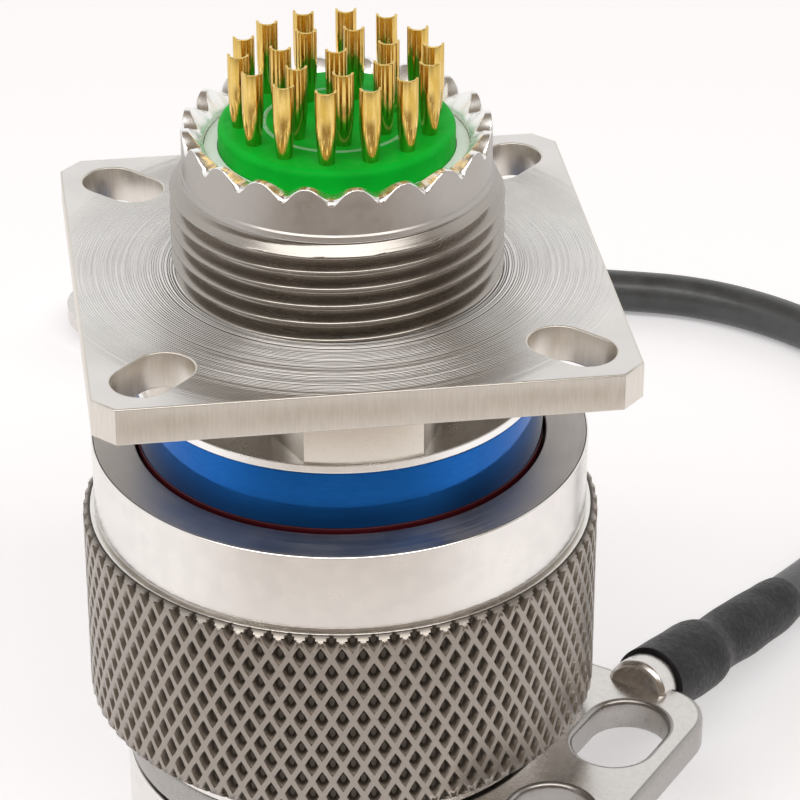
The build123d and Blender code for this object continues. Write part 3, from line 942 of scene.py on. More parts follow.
@dataclass(frozen=True)
class Finishes:
    """The materials that pieces share."""

    turned: bpy.types.Material
    thread: bpy.types.Material
    face: bpy.types.Material
    milled: bpy.types.Material
    bright: bpy.types.Material
    collar: bpy.types.Material
    cap: bpy.types.Material
    mouth: bpy.types.Material
    knurl: bpy.types.Material
    steel: bpy.types.Material
    steel_side_shaded: bpy.types.Material
    gold: bpy.types.Material
    green: bpy.types.Material
    green_ring_highlight: bpy.types.Material
    white: bpy.types.Material
    resin: bpy.types.Material
    grey_rubber: bpy.types.Material
    black_rubber: bpy.types.Material
    blue: bpy.types.Material
    red: bpy.types.Material
    rope: bpy.types.Material
    sleeve: bpy.types.Material

    @classmethod
    def build(cls) -> "Finishes":
        """Builds every finish once.

        Returns:
            All of them.
        """
        cloudy, turned, upright = Marks.CLOUDY, Marks.TURNED, Marks.UPRIGHT
        finishes = {
            "turned": Metal("turned_metal", (0.45, 0.425, 0.4), 0.33, cloudy, 2.0, 0.001, 0.06, 0.3),
            "thread": Metal("thread_metal", (0.4, 0.37, 0.335), 0.25, turned, 7.0, 0.004, 0.1, 0.3),
            "face": FlangeMetal("flange_face", (0.79, 0.765, 0.74)),
            "milled": Metal("flange_side", (0.78, 0.74, 0.68), 0.38, upright, 11.0, 0.0025, 0.1),
            # A near-white copy of the shell plating for the teeth and the bore inside them: painted highlight
            # for their white glints.
            "bright": Metal("highlight_bright_metal", (0.95, 0.94, 0.92), 0.26, cloudy, 1.5, 0.0005, 0.05),
            # The collar is painted dark below 9.3 mm radius, towards its neck, as the shade under the flange.
            "collar": DepthShadedMetal("collar_shaded_metal", (0.82, 0.78, 0.71), (0.3, 0.27, 0.23), 9.3, 10.8, 0.001),
            "cap": Metal("cap_metal", (0.86, 0.835, 0.805), 0.24, cloudy, 0.8, 0.0002, 0.08),
            # The cap's mouth face is a darker copy of the cap plating, painted shade for the dark reflections
            # on it; its turned marks are real.
            "mouth": Metal("mouth_shaded_metal", (0.52, 0.49, 0.46), 0.46, turned, 6.0, 0.003, 0.1),
            # The knurl is a darker copy of the cap plating, painted darker still in its pits: painted shade.
            "knurl": DepthShadedMetal("knurl_shaded_metal", (0.36, 0.325, 0.29), (0.11, 0.095, 0.08), 14.1, 14.44),
            "steel": Metal("ring_steel", (0.74, 0.71, 0.68), 0.24, cloudy, 2.5, 0.006, 0.1),
            # A darker copy of the ring steel for the ring's sides: painted shade.
            "steel_side_shaded": Metal("ring_side_shaded", (0.42, 0.4, 0.385), 0.3, cloudy, 2.5, 0.006, 0.1),
            "gold": Gold("contact_gold", (0.82, 0.6, 0.21), (0.64, 0.42, 0.09), 0.16),
            "green": Moulded("green_insert", (0.0, 0.5, 0.03), (0.0, 0.44, 0.025), 0.5, 0.0, 2.0, 0.002,
                             specular=0.1),
            # A pale green for the raised ring on the insert: a painted highlight along it.
            "green_ring_highlight": Moulded("moulded_ring", (0.26, 0.68, 0.37), (0.2, 0.62, 0.3), 0.3, 0.0, 2.0, 0.002),
            "white": Moulded("white_resin", (0.95, 0.97, 0.965), (0.92, 0.945, 0.94), 0.4, 0.0, 2.0, 0.003),
            "resin": Moulded("dark_resin", (0.02, 0.021, 0.022), (0.014, 0.015, 0.016), 0.45),
            "grey_rubber": Moulded("face_seal", (0.2, 0.21, 0.22), (0.15, 0.16, 0.17), 0.6),
            "black_rubber": Moulded("cap_gasket", (0.018, 0.018, 0.019), (0.012, 0.012, 0.013), 0.6),
            # The blue band is painted darker from 28.2 mm down to 26.2 mm, as shade under the cap's mouth.
            "blue": Painted("blue_band", (0.003, 0.105, 0.4), 0.85, 0.08, (26.2, 28.2)),
            "red": Painted("red_band", (0.09, 0.006, 0.012), 0.3, 0.35),
            "rope": Moulded("rope_coat", (0.065, 0.068, 0.07), (0.045, 0.047, 0.048), 0.38, 0.15, 5.0, 0.02),
            "sleeve": Moulded("sleeve", (0.008, 0.008, 0.01), (0.005, 0.005, 0.006), 0.45, 0.0, 3.0, 0.03,
                              specular=0.3)}
        return cls(**{name: finish.material() for name, finish in finishes.items()})


@dataclass
class Receptacle:
    """The receptacle: shell, bands, insert and contacts.

    Attributes:
        finishes: Shared materials.
        thread_r: The rear thread's radius. The other names that end in _r are radii too.
        thread_crest: Height of one of its crests at +X.
        thread_rows: Rows of points along it.
        mating_depth: Depth of the front thread.
        mating_rows: Rows of points along that one.
        groove_depth: Depth of the groove below the bands.
        foot_out: How far the plain end stands out at its foot.
        foot_top: How high over the thread that foot ends.
        tooth_edge: Radius of the teeth's edges.
        tooth_power: How narrow the notches are, 1 for notches as wide as the teeth.
        tooth_steps: Points along one tooth.
        rear_end_fall: How far the teeth's inner bevel falls to the bore.
        keyways: Azimuth and width of each keyway.
        insert_edge: Radius of the insert's rounded edge.
        moulded_ring: Outer and inner radius of the ring on the insert.
        opens_deg: Where the cups' open sides look.
        swing_deg: How far they differ, for each step of their number.
        edge: Radius of the flange's edges.
    """

    finishes: Finishes
    thread_r: float = 9.0
    thread_pitch: float = 1.0
    thread_crest: float = 0.34
    thread_rows: int = 160
    mating_pitch: float = 2.54
    mating_starts: int = 3
    mating_depth: float = 0.62
    mating_rows: int = 90
    groove_depth: float = 0.35
    foot_out: float = 0.08
    foot_top: float = 0.34
    pilot_r: float = 8.3
    tooth_in_r: float = 7.9
    bore_r: float = 7.1
    mid_bore_r: float = 7.6
    collar_r: float = 11.15
    collar_edge: float = 0.05
    neck_r: float = 8.9
    rim_r: float = 11.3
    band_seat_r: float = 11.05
    front_r: float = 11.1
    front_bore_r: float = 9.05
    front_low: float = 15.2
    front_web: float = 24.6
    front_thread_top: float = 25.1
    red_low: float = 25.5
    blue_low: float = 26.0
    blue_top: float = 29.4
    rim_top: float = 29.9
    flange_low: float = 33.9
    flange_top: float = 36.0
    thread_top: float = 41.5
    teeth_top: float = 44.5
    core_top: float = 39.9
    teeth: int = 20
    tooth_depth: float = 0.66
    tooth_edge: float = 0.05
    tooth_power: float = 1.25
    tooth_steps: int = 28
    rear_end_fall: float = 0.98
    notch_bevel: float = 0.24
    flange_half: float = 14.3
    flange_cut: float = 1.2
    slot_mid: float = 10.9075
    slot_half_run: float = 0.845
    slot_r: float = 1.625
    land_half: float = 2.97
    land_flare: float = 0.436
    keyways: tuple[Point, ...] = ((90, 3.0), (-15, 1.5), (-55, 1.5), (-125, 1.5), (-165, 1.5))
    keyway_depth: float = 0.6
    keyway_top: float = 22.2
    insert_r: float = 6.33
    insert_top: float = 44.53
    insert_edge: float = 0.4
    moulded_ring: Point = (3.98, 3.74)
    moulded_ring_high: float = 0.06
    outer_contacts: int = 14
    outer_ring_r: float = 5.17
    inner_contacts: int = 7
    inner_ring_r: float = 2.95
    opens_deg: float = 82.0
    swing_deg: float = 4.0
    edge: float = 0.09

    def build(self) -> None:
        """Builds and dresses every piece of the receptacle."""
        self.shell()
        self.bands()
        self.insert()
        self.contacts()

    def shell(self) -> None:
        """The shell, with its threads, teeth, flange and lands."""
        form = Form()
        threads = ThreadRule()
        lead = self.thread_r - self.pilot_r
        f = self.finishes
        form.take(threads.sheet(self.thread_r, lead, self.thread_pitch, 1, self.flange_top - lead,
                                self.thread_top, self.thread_crest, lead, self.thread_rows, f.thread), 1)
        form.take(threads.sheet(self.front_r, self.mating_depth, self.mating_pitch, self.mating_starts,
                                self.front_low + HAIR, self.front_thread_top, 0.0, self.mating_depth,
                                self.mating_rows, f.thread), 1)
        self.rear_end(form)
        self.front_end(form)
        slots = [self.slot_outline(quarter) for quarter in range(4)]
        form.plate(self.flange_outline, [*slots, circle(self.neck_r - 0.6)], self.flange_low, self.flange_top,
                   self.edge, (2, 3))
        form.plate(self.collar_outline, [circle(self.mid_bore_r + 0.3)], self.rim_top - 0.4,
                   self.flange_low + self.edge, self.collar_edge, (5, 5))
        form.piece("receptacle_dressed", "receptacle",
                   (f.turned, f.thread, f.face, f.milled, f.bright, f.collar), "plated_shell",
                   ("receptacle_shell",))

    def rear_end(self, form: Form) -> None:
        """The plain end above the rear thread: its wall, its ring of teeth and their inner bevel.

        Args:
            form: Where it goes.
        """
        turn = np.linspace(0, TURN, self.teeth * self.tooth_steps, endpoint=False)
        off = np.abs((turn * self.teeth / TURN) % 1.0 * 2 - 1)
        share = (0.5 * (1 + np.cos(math.pi * off))) ** self.tooth_power
        drop = self.tooth_depth * share
        top = self.teeth_top - HAIR - drop
        inner = self.tooth_in_r - drop * (self.tooth_in_r - self.bore_r) / self.rear_end_fall
        edge, bevel = self.tooth_edge, self.tooth_edge + self.notch_bevel * share ** 4
        r, seat = self.pilot_r, self.thread_top
        foot = r + self.foot_out
        wall = [(r - 0.3, seat - 0.3)]
        wall += [(foot + 0.06 * (1 - math.sin(a)), seat + HAIR + 0.1 * (1 - math.cos(a)))
                 for a in np.linspace(0, math.pi / 2, 6)]
        wall += [(foot, seat + self.foot_top), (r, seat + 0.43), (r, seat + 0.46), (r, top - bevel - HAIR),
                 (r, top - bevel)]
        teeth = [(r, top - bevel), (r - bevel * 0.4, top - bevel * 0.4), (r - bevel, top),
                 (r - bevel - HAIR, top), (inner + edge, top), (inner, top - edge * 0.4),
                 (self.bore_r, self.teeth_top - 1.0), (self.bore_r, self.teeth_top - 1.1)]
        form.rows([loop(turn, radius, height) for radius, height in wall], 0)
        # Slot 4 is the near-white copy of the plating, a painted highlight on the teeth.
        form.rows([loop(turn, radius, height) for radius, height in teeth], 4)
        bore = [(self.bore_r, self.teeth_top - 1.1), (self.bore_r, self.core_top + 0.1),
                (self.mid_bore_r, self.core_top + 0.1), (self.mid_bore_r, self.front_web)]
        form.lathe(bore, 4, closed=False)

    def front_end(self, form: Form) -> None:
        """The front barrel's rim, band seat, front edge and bore with keyways.

        Args:
            form: Where they go.
        """
        seat, under = self.band_seat_r, self.band_seat_r - self.groove_depth
        rim = [(self.front_r - 0.8, self.front_thread_top - 0.05), (under, self.front_thread_top),
               (under, self.red_low - 0.05), (seat, self.red_low), (seat, self.blue_top),
               (self.rim_r, self.blue_top), (self.rim_r, self.rim_top), (self.neck_r - 0.5, self.rim_top)]
        form.lathe(eased(rim, 0.07), 4, closed=False)
        turn, radius = self.bore_line()
        low, plain, root = self.front_low, self.front_bore_r, self.front_r - self.mating_depth
        bore = [(root, low + HAIR), (root - 0.04, low + 0.01), (radius + 0.04, low + 0.01),
                (radius, low + 0.06), (radius, self.keyway_top), (plain, self.keyway_top),
                (plain, self.front_web), (self.mid_bore_r, self.front_web)]
        form.rows([loop(turn, r, z) for r, z in bore], 0)

    def bore_line(self) -> tuple[np.ndarray, np.ndarray]:
        """The front bore's line, deeper in the keyways.

        Returns:
            Angles round it, and its radius at each.
        """
        turns: list[float] = list(np.linspace(0, 360, 300, endpoint=False))
        halves = [(az, math.degrees(math.asin(wide / 2 / self.front_bore_r))) for az, wide in self.keyways]
        for az, half in halves:
            turns += [(az + side * half + nudge) % 360 for side in (-1, 1) for nudge in (-0.05, 0.05)]
        turn = np.array(sorted(turns))
        radius = np.full(len(turn), self.front_bore_r)
        for az, half in halves:
            radius[np.abs((turn - az + 180) % 360 - 180) < half] += self.keyway_depth
        return np.radians(turn), radius

    def flange_outline(self, inset: float) -> np.ndarray:
        """The flange's outline: a square with cut corners.

        Args:
            inset: How far in it lies.

        Returns:
            The loop, anticlockwise.
        """
        half = self.flange_half - inset
        cut = 2 * self.flange_half - self.flange_cut - inset * math.sqrt(2) - half
        return np.array([(half, -cut), (half, cut), (cut, half), (-cut, half), (-half, cut), (-half, -cut),
                         (-cut, -half), (cut, -half)])

    def slot_outline(self, quarter: int) -> Outline:
        """One slotted hole's outline.

        Args:
            quarter: The corner that it stands in, counted from 45 degrees.

        Returns:
            Its loop at any inset, clockwise.
        """
        mid = self.slot_mid * math.sqrt(2)

        def outline(inset: float) -> np.ndarray:
            """The loop at an inset.

            Args:
                inset: How far in it lies.

            Returns:
                The loop.
            """
            ends = [arc(mid + side * self.slot_half_run, 0, self.slot_r + inset, side * 90,
                        side * 90 - 180, 25) for side in (1, -1)]
            return spun(np.concatenate(ends), 45 + 90 * quarter)

        return outline

    def collar_outline(self, inset: float) -> np.ndarray:
        """The collar's outline: a land at the middle of each side, and a round neck between.

        Args:
            inset: How far in it lies.

        Returns:
            The loop, anticlockwise.
        """
        slope = self.land_flare
        width = self.land_half + slope * self.collar_r - inset * math.hypot(1, slope)
        steep = 1 + slope ** 2

        def meets(r: float) -> float:
            """The angle in degrees where a land's side meets a circle."""
            y = (width * slope + math.sqrt((width * slope) ** 2 - steep * (width ** 2 - r ** 2))) / steep
            return math.degrees(math.atan2(width - slope * y, y))

        out, neck = self.collar_r - inset, self.neck_r - inset
        line = []
        for az in range(0, 360, 90):
            line += [arc(0, 0, out, az - meets(out), az + meets(out), 15),
                     arc(0, 0, neck, az + meets(neck), az + 90 - meets(neck), 21)]
        return np.concatenate(line)

    def bands(self) -> None:
        """The blue and the red band."""
        for name, low, high, finish in (("blue_band", self.blue_low, self.blue_top, self.finishes.blue),
                                        ("red_band", self.red_low, self.blue_low, self.finishes.red)):
            form = Form()
            inner, outer = self.band_seat_r + 0.01, self.rim_r - 0.01
            form.lathe(eased([(outer, low), (outer, high), (inner, high), (inner, low)], 0.05))
            form.piece(name + "_dressed", "receptacle", (finish,), name.replace("band", "paint"), (name,))

    def insert(self) -> None:
        """The green insert, with a raised ring on its face painted pale as a highlight."""
        form = Form()
        r, top, low, edge = self.insert_r, self.insert_top, self.core_top, self.insert_edge
        outer, inner = self.moulded_ring
        width = outer - inner
        ring = [(outer - width * t, top + self.moulded_ring_high * math.sin(math.pi * t))
                for t in np.linspace(0, 1, 9)]
        fillet = [(r - edge + edge * math.cos(a), top - edge + edge * math.sin(a))
                  for a in np.linspace(0, math.pi / 2, 9)]
        side = [(0, low), (r - HAIR, low), (r, low + HAIR), *fillet, (r - edge - 0.04, top), ring[0]]
        form.lathe(side, 0, closed=False)
        form.lathe(ring, 1, closed=False)
        form.lathe([ring[-1], (inner - width, top), (0, top)], 0, closed=False)
        form.piece("rear_insert_dressed", "receptacle", (self.finishes.green, self.finishes.green_ring_highlight),
                   "green_resin", ("rear_insert",))

    def contacts(self) -> None:
        """All the contacts, as one piece."""
        cup = linked("cup_shape", Cup().form().mesh("cup_shape"))
        form = Form()
        form.take(CupRule().mesh(
            Cup=cup, Outer_Count=self.outer_contacts, Outer_Radius=self.outer_ring_r * MM,
            Inner_Count=self.inner_contacts, Inner_Radius=self.inner_ring_r * MM, Inner_Start=-math.pi / 2,
            Opens=math.radians(self.opens_deg), Swing=math.radians(self.swing_deg),
            Material=self.finishes.gold), 0)
        discard(cup)
        form.piece("contacts_dressed", "receptacle", (self.finishes.gold,), "gold",
                   tuple(f"contact_{n:02d}" for n in range(1, 23)), 50.0)


@dataclass
class Cup:
    """One contact on the axis: its pin, its body and a solder cup that opens towards +X.

    Attributes:
        pin_tip: Height of the pin's end.
        pin_round: How far up from there the pin widens.
        taper: How far up from the neck the cup widens.
        floor: Height of the bore's floor.
        cut_low: Height from where the cup's side is cut away.
        cut_rise: How much higher the cut is at its sides.
        cut_x: How far from the axis the cut lies.
        edge: Radius of the cup's edges.
    """

    pin_tip: float = 19.8
    pin_round: float = 0.35
    pin_r: float = 0.38
    body_low: float = 24.6
    body_top: float = 39.9
    body_r: float = 0.5
    neck_r: float = 0.4
    neck_top: float = 44.56
    taper: float = 2.1
    cup_r: float = 0.573
    bore_r: float = 0.43
    floor: float = 46.3
    cut_low: float = 46.58
    cut_rise: float = 0.3
    top: float = 48.655
    cut_x: float = 0.05
    edge: float = 0.03
    steps: int = 56

    def form(self) -> Form:
        """Builds the contact.

        Returns:
            Its form.
        """
        turn = np.radians(np.linspace(0, 360, self.steps, endpoint=False))
        edge_turn = math.acos(self.cut_x / self.cup_r)
        for side in (edge_turn, TURN - edge_turn):
            turn[int(np.argmin(np.abs(turn - side)))] = side
        off = np.minimum(turn, TURN - turn)
        rise = np.clip(off / edge_turn, 0, 1) ** 6 * self.cut_rise
        top = np.where(off < edge_turn - TURN / self.steps * 0.5, self.cut_low + rise, self.top)
        cup, bore, edge = self.cup_r, self.bore_r, self.edge
        pin = [(0.0, self.pin_tip), (self.pin_r * 0.55, self.pin_tip + 0.03),
               (self.pin_r, self.pin_tip + self.pin_round), (self.pin_r, self.body_low),
               (self.body_r, self.body_low),
               (self.body_r, self.body_top), (self.neck_r, self.body_top), (self.neck_r, self.neck_top)]
        widening = [(self.neck_r + (cup - self.neck_r) * (1 - (1 - t) ** 1.6),
                     np.minimum(self.neck_top + self.taper * t, top - 0.08 + 0.01 * t))
                    for t in np.linspace(0.1, 1.0, 9)]
        lip = [(cup, top - edge), (cup - edge * 0.3, top - edge * 0.3), (cup - edge, top), (bore + edge, top),
               (bore + edge * 0.3, top - edge * 0.3), (bore, top - edge), (bore, self.floor),
               (0.0, self.floor - 0.22)]
        form = Form()
        form.rows([loop(turn, radius, height) for radius, height in pin + widening + lip])
        return form


@dataclass
class ScrewCap:
    """The screw cap and its end plate.

    Attributes:
        finishes: Shared materials.
        bore_r: Radius of the threaded bore. The other names that end in _r are radii too.
        thread_depth: Depth of its thread.
        thread_rows: Rows of points along it.
        thread_from_mouth: How far inside the mouth it begins.
        thread_from_floor: How far over the floor it ends.
        steps: Points round the smooth band.
        mouth: Height of the open end.
        floor: Height of the bore's floor.
        knurl_bevel: Height of the bevel at both ends of the knurl.
        seam_cut: Depth of the seam between the knurl and the smooth band.
        columns: Diamonds round the knurl.
        half_rows: Half diamonds along it.
        pit: Depth of the knurl.
        diamond: Rings of one diamond from its ridge inward: size, depth and how square it is, as shares.
        post_r: Radius of the end plate's post.
        post_top: Height of that post.
        post_bevel: Width and height of the bevel at its end.
        plate_bevel: Size of the bevel round the end plate.
        plate_edge: Radius of the end plate's edges.
        ring_slot_r: Inner radius of the end plate's ring-shaped pocket.
        slot_floor: Height of that pocket's floor.
    """

    finishes: Finishes
    bore_r: float = 11.45
    smooth_r: float = 13.82
    knurl_r: float = 14.47
    boss_r: float = 12.5
    groove_r: float = 10.2
    hollow_r: float = 8.4
    mouth: float = 25.8
    floor: float = 13.4
    knurl_top: float = 21.15
    knurl_low: float = 9.5
    groove_top: float = 7.7
    groove_low: float = 5.3
    hollow_top: float = 10.4
    mouth_edge: float = 0.06
    seam_cut: float = 0.3
    columns: int = 80
    half_rows: int = 11
    pit: float = 0.36
    knurl_bevel: float = 0.3
    thread_depth: float = 0.6
    thread_pitch: float = 2.54
    thread_starts: int = 3
    thread_rows: int = 90
    thread_from_mouth: float = 1.2
    thread_from_floor: float = 2.0
    steps: int = 320
    post_r: float = 2.49
    post_top: float = 10.2
    post_bevel: Point = (0.29, 0.5)
    plate_bevel: float = 0.5
    plate_edge: float = 0.12
    ring_slot_r: float = 4.6
    slot_floor: float = 2.2
    diamond: tuple[Place, ...] = ((1.0, 0.0, 0.5), (0.68, 0.02, 0.54), (0.56, 0.2, 0.6), (0.42, 0.75, 0.66),
                                  (0.28, 1.0, 0.68), (0.0, 1.05, 0.5))

    def build(self) -> None:
        """Builds and dresses every piece of the cap."""
        form = Form()
        self.body(form)
        self.knurl(form)
        f = self.finishes
        form.piece("cap_dressed", "cap", (f.cap, f.knurl, f.turned, f.mouth), "plated_cap", ("cap_shell",))
        self.end_plate()

    def body(self, form: Form) -> None:
        """The turned part of the cap, with its threaded bore.

        Args:
            form: Where it goes.
        """
        top, low, core = self.knurl_top, self.knurl_low, self.knurl_r - self.pit - 0.03
        smooth, bore, edge, seam = self.smooth_r, self.bore_r, self.mouth_edge, self.smooth_r - self.seam_cut
        thread_top, thread_low = self.mouth - self.thread_from_mouth, self.floor + self.thread_from_floor
        outside = [(0, self.hollow_top), (self.hollow_r, self.hollow_top), (self.hollow_r, self.groove_low),
                   (self.groove_r, self.groove_low), (self.groove_r, self.groove_top),
                   (self.boss_r, self.groove_top), (self.boss_r, low + HAIR), (core, low + HAIR),
                   (core, top - HAIR), (seam, top - HAIR), (seam, top + 0.1), (smooth, top + 0.2),
                   (smooth, self.mouth - edge), (smooth - edge, self.mouth)]
        mouth = [(smooth - edge, self.mouth), (bore + edge, self.mouth), (bore, self.mouth - edge),
                 (bore, thread_top)]
        floor = [(bore + self.thread_depth, thread_low), (bore, thread_low - 0.1), (bore, self.floor),
                 (0, self.floor)]
        form.lathe(eased(outside, 0.05), 0, self.steps, closed=False)
        form.lathe(eased(mouth, 0.03), 3, self.steps, closed=False)
        thread = ThreadRule().sheet(bore, -self.thread_depth, self.thread_pitch, self.thread_starts,
                                    thread_low, thread_top, 0.0, self.thread_depth, self.thread_rows,
                                    self.finishes.cap)
        form.take(turned_over(thread), 2)
        form.lathe(floor, 2, closed=False)

    def knurl(self, form: Form) -> None:
        """The knurl's diamond lattice and the notched bevels at its ends.

        Args:
            form: Where it goes.
        """
        shape = Form()
        rings = []
        for scale, drop, square in self.diamond:
            corners = [(1, 0), (square, square), (0, 1), (-square, square), (-1, 0), (-square, -square),
                       (0, -1), (square, -square)]
            ring = [(scale * 0.5 * a, -self.pit * drop * MM, scale * b) for a, b in corners]
            rings.append(np.array(ring) / MM)
        shape.rows(rings[::-1])
        cell = linked("knurl_cell", shape.mesh("knurl_cell"))
        low, high = self.knurl_low + self.knurl_bevel, self.knurl_top - self.knurl_bevel
        lattice = {"Radius": self.knurl_r * MM, "Columns": self.columns, "Material": self.finishes.knurl}
        form.take(KnurlRule().mesh(Cell=cell, Half_Rows=self.half_rows, Low=low * MM, High=high * MM,
                                   **lattice), 1)
        discard(cell)
        shoulder = ShoulderRule()
        lattice |= {"Pit": self.pit * MM, "Cell": (high - low) / self.half_rows * MM}
        above = shoulder.mesh(Shift=0.5, Start=high * MM, End=(self.knurl_top - HAIR) * MM, **lattice)
        below = shoulder.mesh(Shift=0.0, Start=low * MM, End=(self.knurl_low + HAIR) * MM, **lattice)
        form.take(above, 1)
        form.take(turned_over(below), 1)

    def end_plate(self) -> None:
        """The end plate that closes the boss."""
        form = Form()
        boss, under, post, bevel = self.boss_r, self.groove_low, self.post_r, self.plate_bevel
        wide, high = self.post_bevel
        outline = [(0, 0), (boss - bevel, 0), (boss, bevel), (boss, under), (self.hollow_r, under),
                   (self.hollow_r, self.slot_floor), (self.ring_slot_r, self.slot_floor),
                   (self.ring_slot_r, under), (post, under), (post, self.post_top - high),
                   (post - wide, self.post_top), (0, self.post_top)]
        form.lathe(eased(outline, self.plate_edge), 0, closed=False)
        form.piece("end_plate_dressed", "cap", (self.finishes.cap,), "plated_cap", ("cap_end_plate",))


class Path:
    """A smooth line through the rope's middle, read from its NURBS route, in millimetres."""

    def __init__(self, route: bpy.types.Object) -> None:
        """Reads a curve that has no bevel.

        Args:
            route: The curve's object.
        """
        graph = bpy.context.evaluated_depsgraph_get()
        line = bpy.data.meshes.new_from_object(route.evaluated_get(graph))
        self.points = np.array([v.co for v in line.vertices]) / MM
        bpy.data.meshes.remove(line)
        runs = np.linalg.norm(np.diff(self.points, axis=0), axis=1)
        self.lengths = np.concatenate([[0.0], np.cumsum(runs)])

    @property
    def length(self) -> float:
        """The whole length."""
        return float(self.lengths[-1])

    def at(self, lengths: np.ndarray) -> np.ndarray:
        """Points on the line, which goes straight on before its start.

        Args:
            lengths: How far along it they lie.

        Returns:
            Rows of x, y, z.
        """
        before = np.minimum(lengths, 0.0)[:, None] * (self.points[1] - self.points[0]) / self.lengths[1]
        along = [np.interp(lengths, self.lengths, self.points[:, k]) for k in range(3)]
        return before + np.column_stack(along)

    def tube(self, form: Form, lengths: np.ndarray, radii: np.ndarray, lump: float = 0.0) -> None:
        """Adds a tube that follows the line.

        Args:
            form: Where it goes.
            lengths: Where its rings stand.
            radii: Radius of each ring.
            lump: How far the rings depart from round, in millimetres.
        """
        middle = self.at(lengths)
        along = np.gradient(middle, axis=0)
        along /= np.linalg.norm(along, axis=1)[:, None]
        side = np.cross(along, (0.0, 0.0, 1.0))
        side /= np.linalg.norm(side, axis=1)[:, None]
        over = np.cross(side, along)
        turn = np.linspace(0, TURN, 48, endpoint=False)
        rows = []
        for c, a, b, r, s in zip(middle, side, over, radii, lengths):
            # Two and three soft lumps round it, which turn in opposite ways along it.
            uneven = lump * (np.sin(3 * turn + 1.7 * s) * 0.5 + np.sin(2 * turn - 0.9 * s) * 0.5)
            ring = np.outer(np.cos(turn) * (r + uneven), a) + np.outer(np.sin(turn) * (r + uneven), b)
            rows.append(c + ring)
        form.rows(rows[::-1])


def turned_with_view(x: float, y: float, z: float) -> Place:
    """A point given in the photograph's square axes, in the frame's."""
    spin = math.radians(VIEW_TURN_DEG)
    return x * math.cos(spin) - y * math.sin(spin), x * math.sin(spin) + y * math.cos(spin), z


